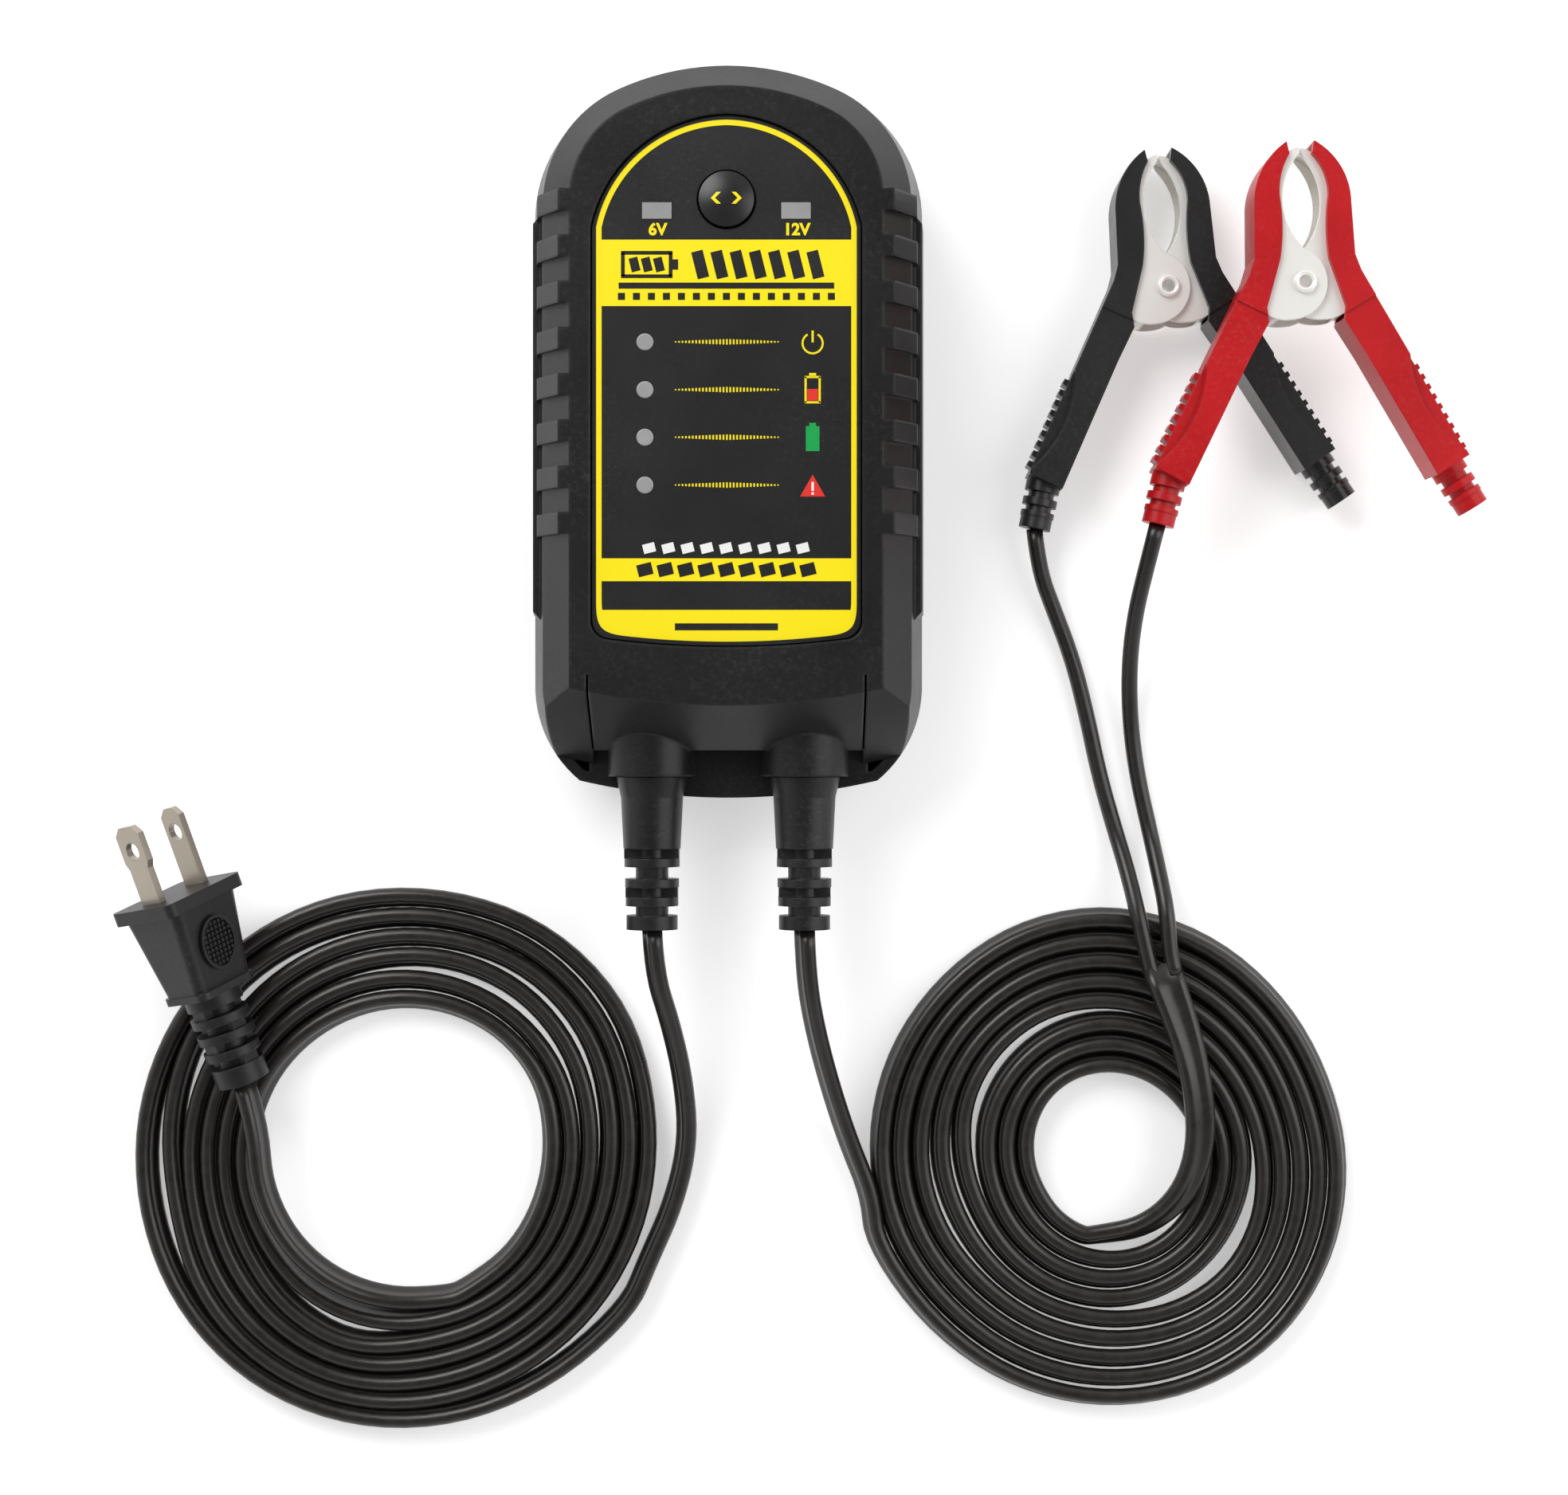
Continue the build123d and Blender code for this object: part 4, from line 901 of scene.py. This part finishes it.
def wound_spring(colour):
    """Torsion spring: wire wound round the rivet, between the jaw plates"""
    middle, high = node_middle(f"{colour}_rivet")
    reach = spring_half(colour) - spring_wire_radius
    bpy.ops.object.select_all(action="DESELECT")
    bpy.ops.mesh.primitive_circle_add(vertices=12, radius=spring_wire_radius * MM,
                                      rotation=(radians(90), 0, 0),
                                      location=mm(spring_coil_radius, 0, -reach))
    spring = bpy.context.object
    spring.name = f"{colour}_wound_spring"
    bpy.ops.object.transform_apply(location=True, rotation=True, scale=True)
    screw = spring.modifiers.new("winding", "SCREW")
    screw.angle = radians(360 * spring_turns)
    screw.screw_offset = 2 * reach * MM
    screw.steps = screw.render_steps = 28 * spring_turns
    bpy.ops.object.modifier_apply(modifier="winding")
    bpy.ops.object.mode_set(mode="EDIT")
    bpy.ops.mesh.select_all(action="SELECT")
    bpy.ops.mesh.fill_holes(sides=0)
    bpy.ops.object.mode_set(mode="OBJECT")
    spring.location = mm(middle.x, middle.y, middle.z)
    finish_piece(spring, spring_steel)
    return spring


def spring_arm(colour, side, body):
    """One bent end of the spring's wire, which presses on its own half of the clamp"""
    middle, high = node_middle(f"{colour}_rivet")
    reach = spring_half(colour) - spring_wire_radius
    turn = Matrix.Rotation(radians(clamp_turns[colour]), 3, "Z")
    heading = (turn @ Vector((side * 3.7, -3.3, 0.0))).normalized()
    start = middle + turn @ Vector((side * 2.6, -2.8, 0.0)) + Vector((0, 0, side * reach))
    bpy.ops.object.select_all(action="DESELECT")
    bpy.ops.mesh.primitive_circle_add(vertices=12, radius=spring_wire_radius * MM, fill_type="NGON",
                                      location=mm(*start),
                                      rotation=heading.to_track_quat("Z", "Y").to_euler())
    arm = bpy.context.object
    arm.name = f"{colour}_spring_arm_{'right' if side > 0 else 'left'}"
    bpy.ops.object.mode_set(mode="EDIT")
    bpy.ops.mesh.select_all(action="SELECT")
    for step in (heading * 3.6, heading * 0.9 + Vector((0, 0, -side * 0.5))):
        bpy.ops.mesh.extrude_region_move(TRANSFORM_OT_translate={"value": mm(*step)})
    finish_piece(arm, spring_steel, body)
    return arm


rings = {colour: eyelet_ring(colour) for colour in clamp_turns}
for colour in clamp_turns:
    wound = wound_spring(colour)
    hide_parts(f"{colour}_spring")
    spring_arm(colour, -1, "root")
    spring_arm(colour, 1, f"{colour}_clamp_half")


# ------------------------------------------------------------ plug grip pads
plug_roll = 50.0
pad_lean = 0.158
pad_depth = 12.4
pad_out = 8.35


def plug_face(side, depth, out):
    """Where a pad's own flat frame lies: on one broad side of the plug, at a depth behind its face"""
    mount = next(m for m in frame["record"]["mounts"] if m["name"] == "mains_blades")
    axis = Vector(mount["axis"]).normalized()
    level = Vector((axis.y, -axis.x, 0)).normalized()
    rising = axis.cross(level)
    roll = radians(plug_roll)
    across = level * cos(roll) + rising * sin(roll)
    normal = axis.cross(across) * side
    along = (axis + normal * pad_lean).normalized()
    normal = (normal - axis * pad_lean).normalized()
    place = Vector(mount["pos_m"]) - axis * depth * MM + axis.cross(across) * side * out * MM
    turn = Matrix((along.cross(normal), along, normal)).transposed().to_4x4()
    return Matrix.Translation(place) @ turn


def grip_pad(side):
    """Raised oval rim with rows of small square studs inside it"""
    name = "upper" if side > 0 else "lower"
    studs = open_piece(f"plug_studs_{name}")
    rows, columns, pitch = 9, 7, 1.15
    for across in range(columns):
        for along in range(rows):
            x, y = (across - (columns - 1) / 2) * pitch, (along - (rows - 1) / 2) * pitch
            if hypot(x / 4.6, y / 5.6) < 1:
                plate(x, y, 0.75, 0.75, 0.0, -0.2)
    close_piece(studs, plug_vinyl, thick=0.5)
    rim = open_piece(f"plug_rim_{name}")
    bpy.ops.mesh.primitive_circle_add(vertices=48, radius=5.5 * MM, location=mm(0, 0, -0.2))
    bpy.ops.transform.resize(value=(0.88, 1.12, 1.0), center_override=(0, 0, 0))
    bpy.ops.mesh.extrude_edges_move()
    bpy.ops.transform.resize(value=(0.86, 0.89, 1.0), center_override=(0, 0, 0))
    close_piece(rim, plug_vinyl, thick=0.65)
    for piece in (studs, rim):
        piece.data.transform(plug_face(side, pad_depth, pad_out))
    return [studs, rim]


plug_pads = grip_pad(1) + grip_pad(-1)


# ----------------------------------------------------------- floor and light
def pale_floor():
    """Wide, nearly white floor that gives off a little light of its own"""
    bpy.ops.object.select_all(action="DESELECT")
    bpy.ops.mesh.primitive_plane_add(size=6.0)
    floor = bpy.context.object
    floor.name = "pale_floor"
    material, tree, shader = start_material("pale_floor")
    place = object_place(tree)
    tone = span(tree, noise(tree, place, 3.0, 3.0, 0.5), 0.3, 0.7)
    pale = blend_colour(tree, tone, (0.80, 0.80, 0.80), (0.82, 0.82, 0.82))
    tree.links.new(pale, shader.inputs["Base Color"])
    shader.inputs["Roughness"].default_value = 0.9
    shader.inputs["Emission Color"].default_value = (1.0, 1.0, 1.0, 1.0)
    shader.inputs["Emission Strength"].default_value = 0.42
    floor.data.materials.append(material)


def softbox(name, place, size, power, target=(0.0, -0.07, 0.0)):
    """A rectangular light that faces the target"""
    data = bpy.data.lights.new(name, "AREA")
    data.shape = "RECTANGLE"
    data.size, data.size_y = size
    data.energy = power
    light = bpy.data.objects.new(name, data)
    light.location = place
    aim = Vector(target) - Vector(place)
    light.rotation_euler = aim.to_track_quat("-Z", "Y").to_euler()
    bpy.context.scene.collection.objects.link(light)


def soft_sky():
    """Light walls all round, with a darker ceiling"""
    world = bpy.data.worlds.new("soft_room")
    bpy.context.scene.world = world
    world.use_nodes = True
    tree = world.node_tree
    coordinates = tree.nodes.new("ShaderNodeTexCoord")
    split = tree.nodes.new("ShaderNodeSeparateXYZ")
    tree.links.new(coordinates.outputs["Generated"], split.inputs[0])
    height = span(tree, split.outputs["Z"], 0.25, 0.9)
    colour = blend_colour(tree, height, (1.0, 1.0, 1.0), (0.22, 0.22, 0.22))
    background = tree.nodes["Background"]
    tree.links.new(colour, background.inputs["Color"])
    background.inputs["Strength"].default_value = 1.0


pale_floor()
soft_sky()
softbox("key_light", (-0.55, 0.65, 0.85), (0.7, 0.7), 9.0)
softbox("fill_light", (0.8, 0.1, 0.7), (0.6, 0.9), 4.0)
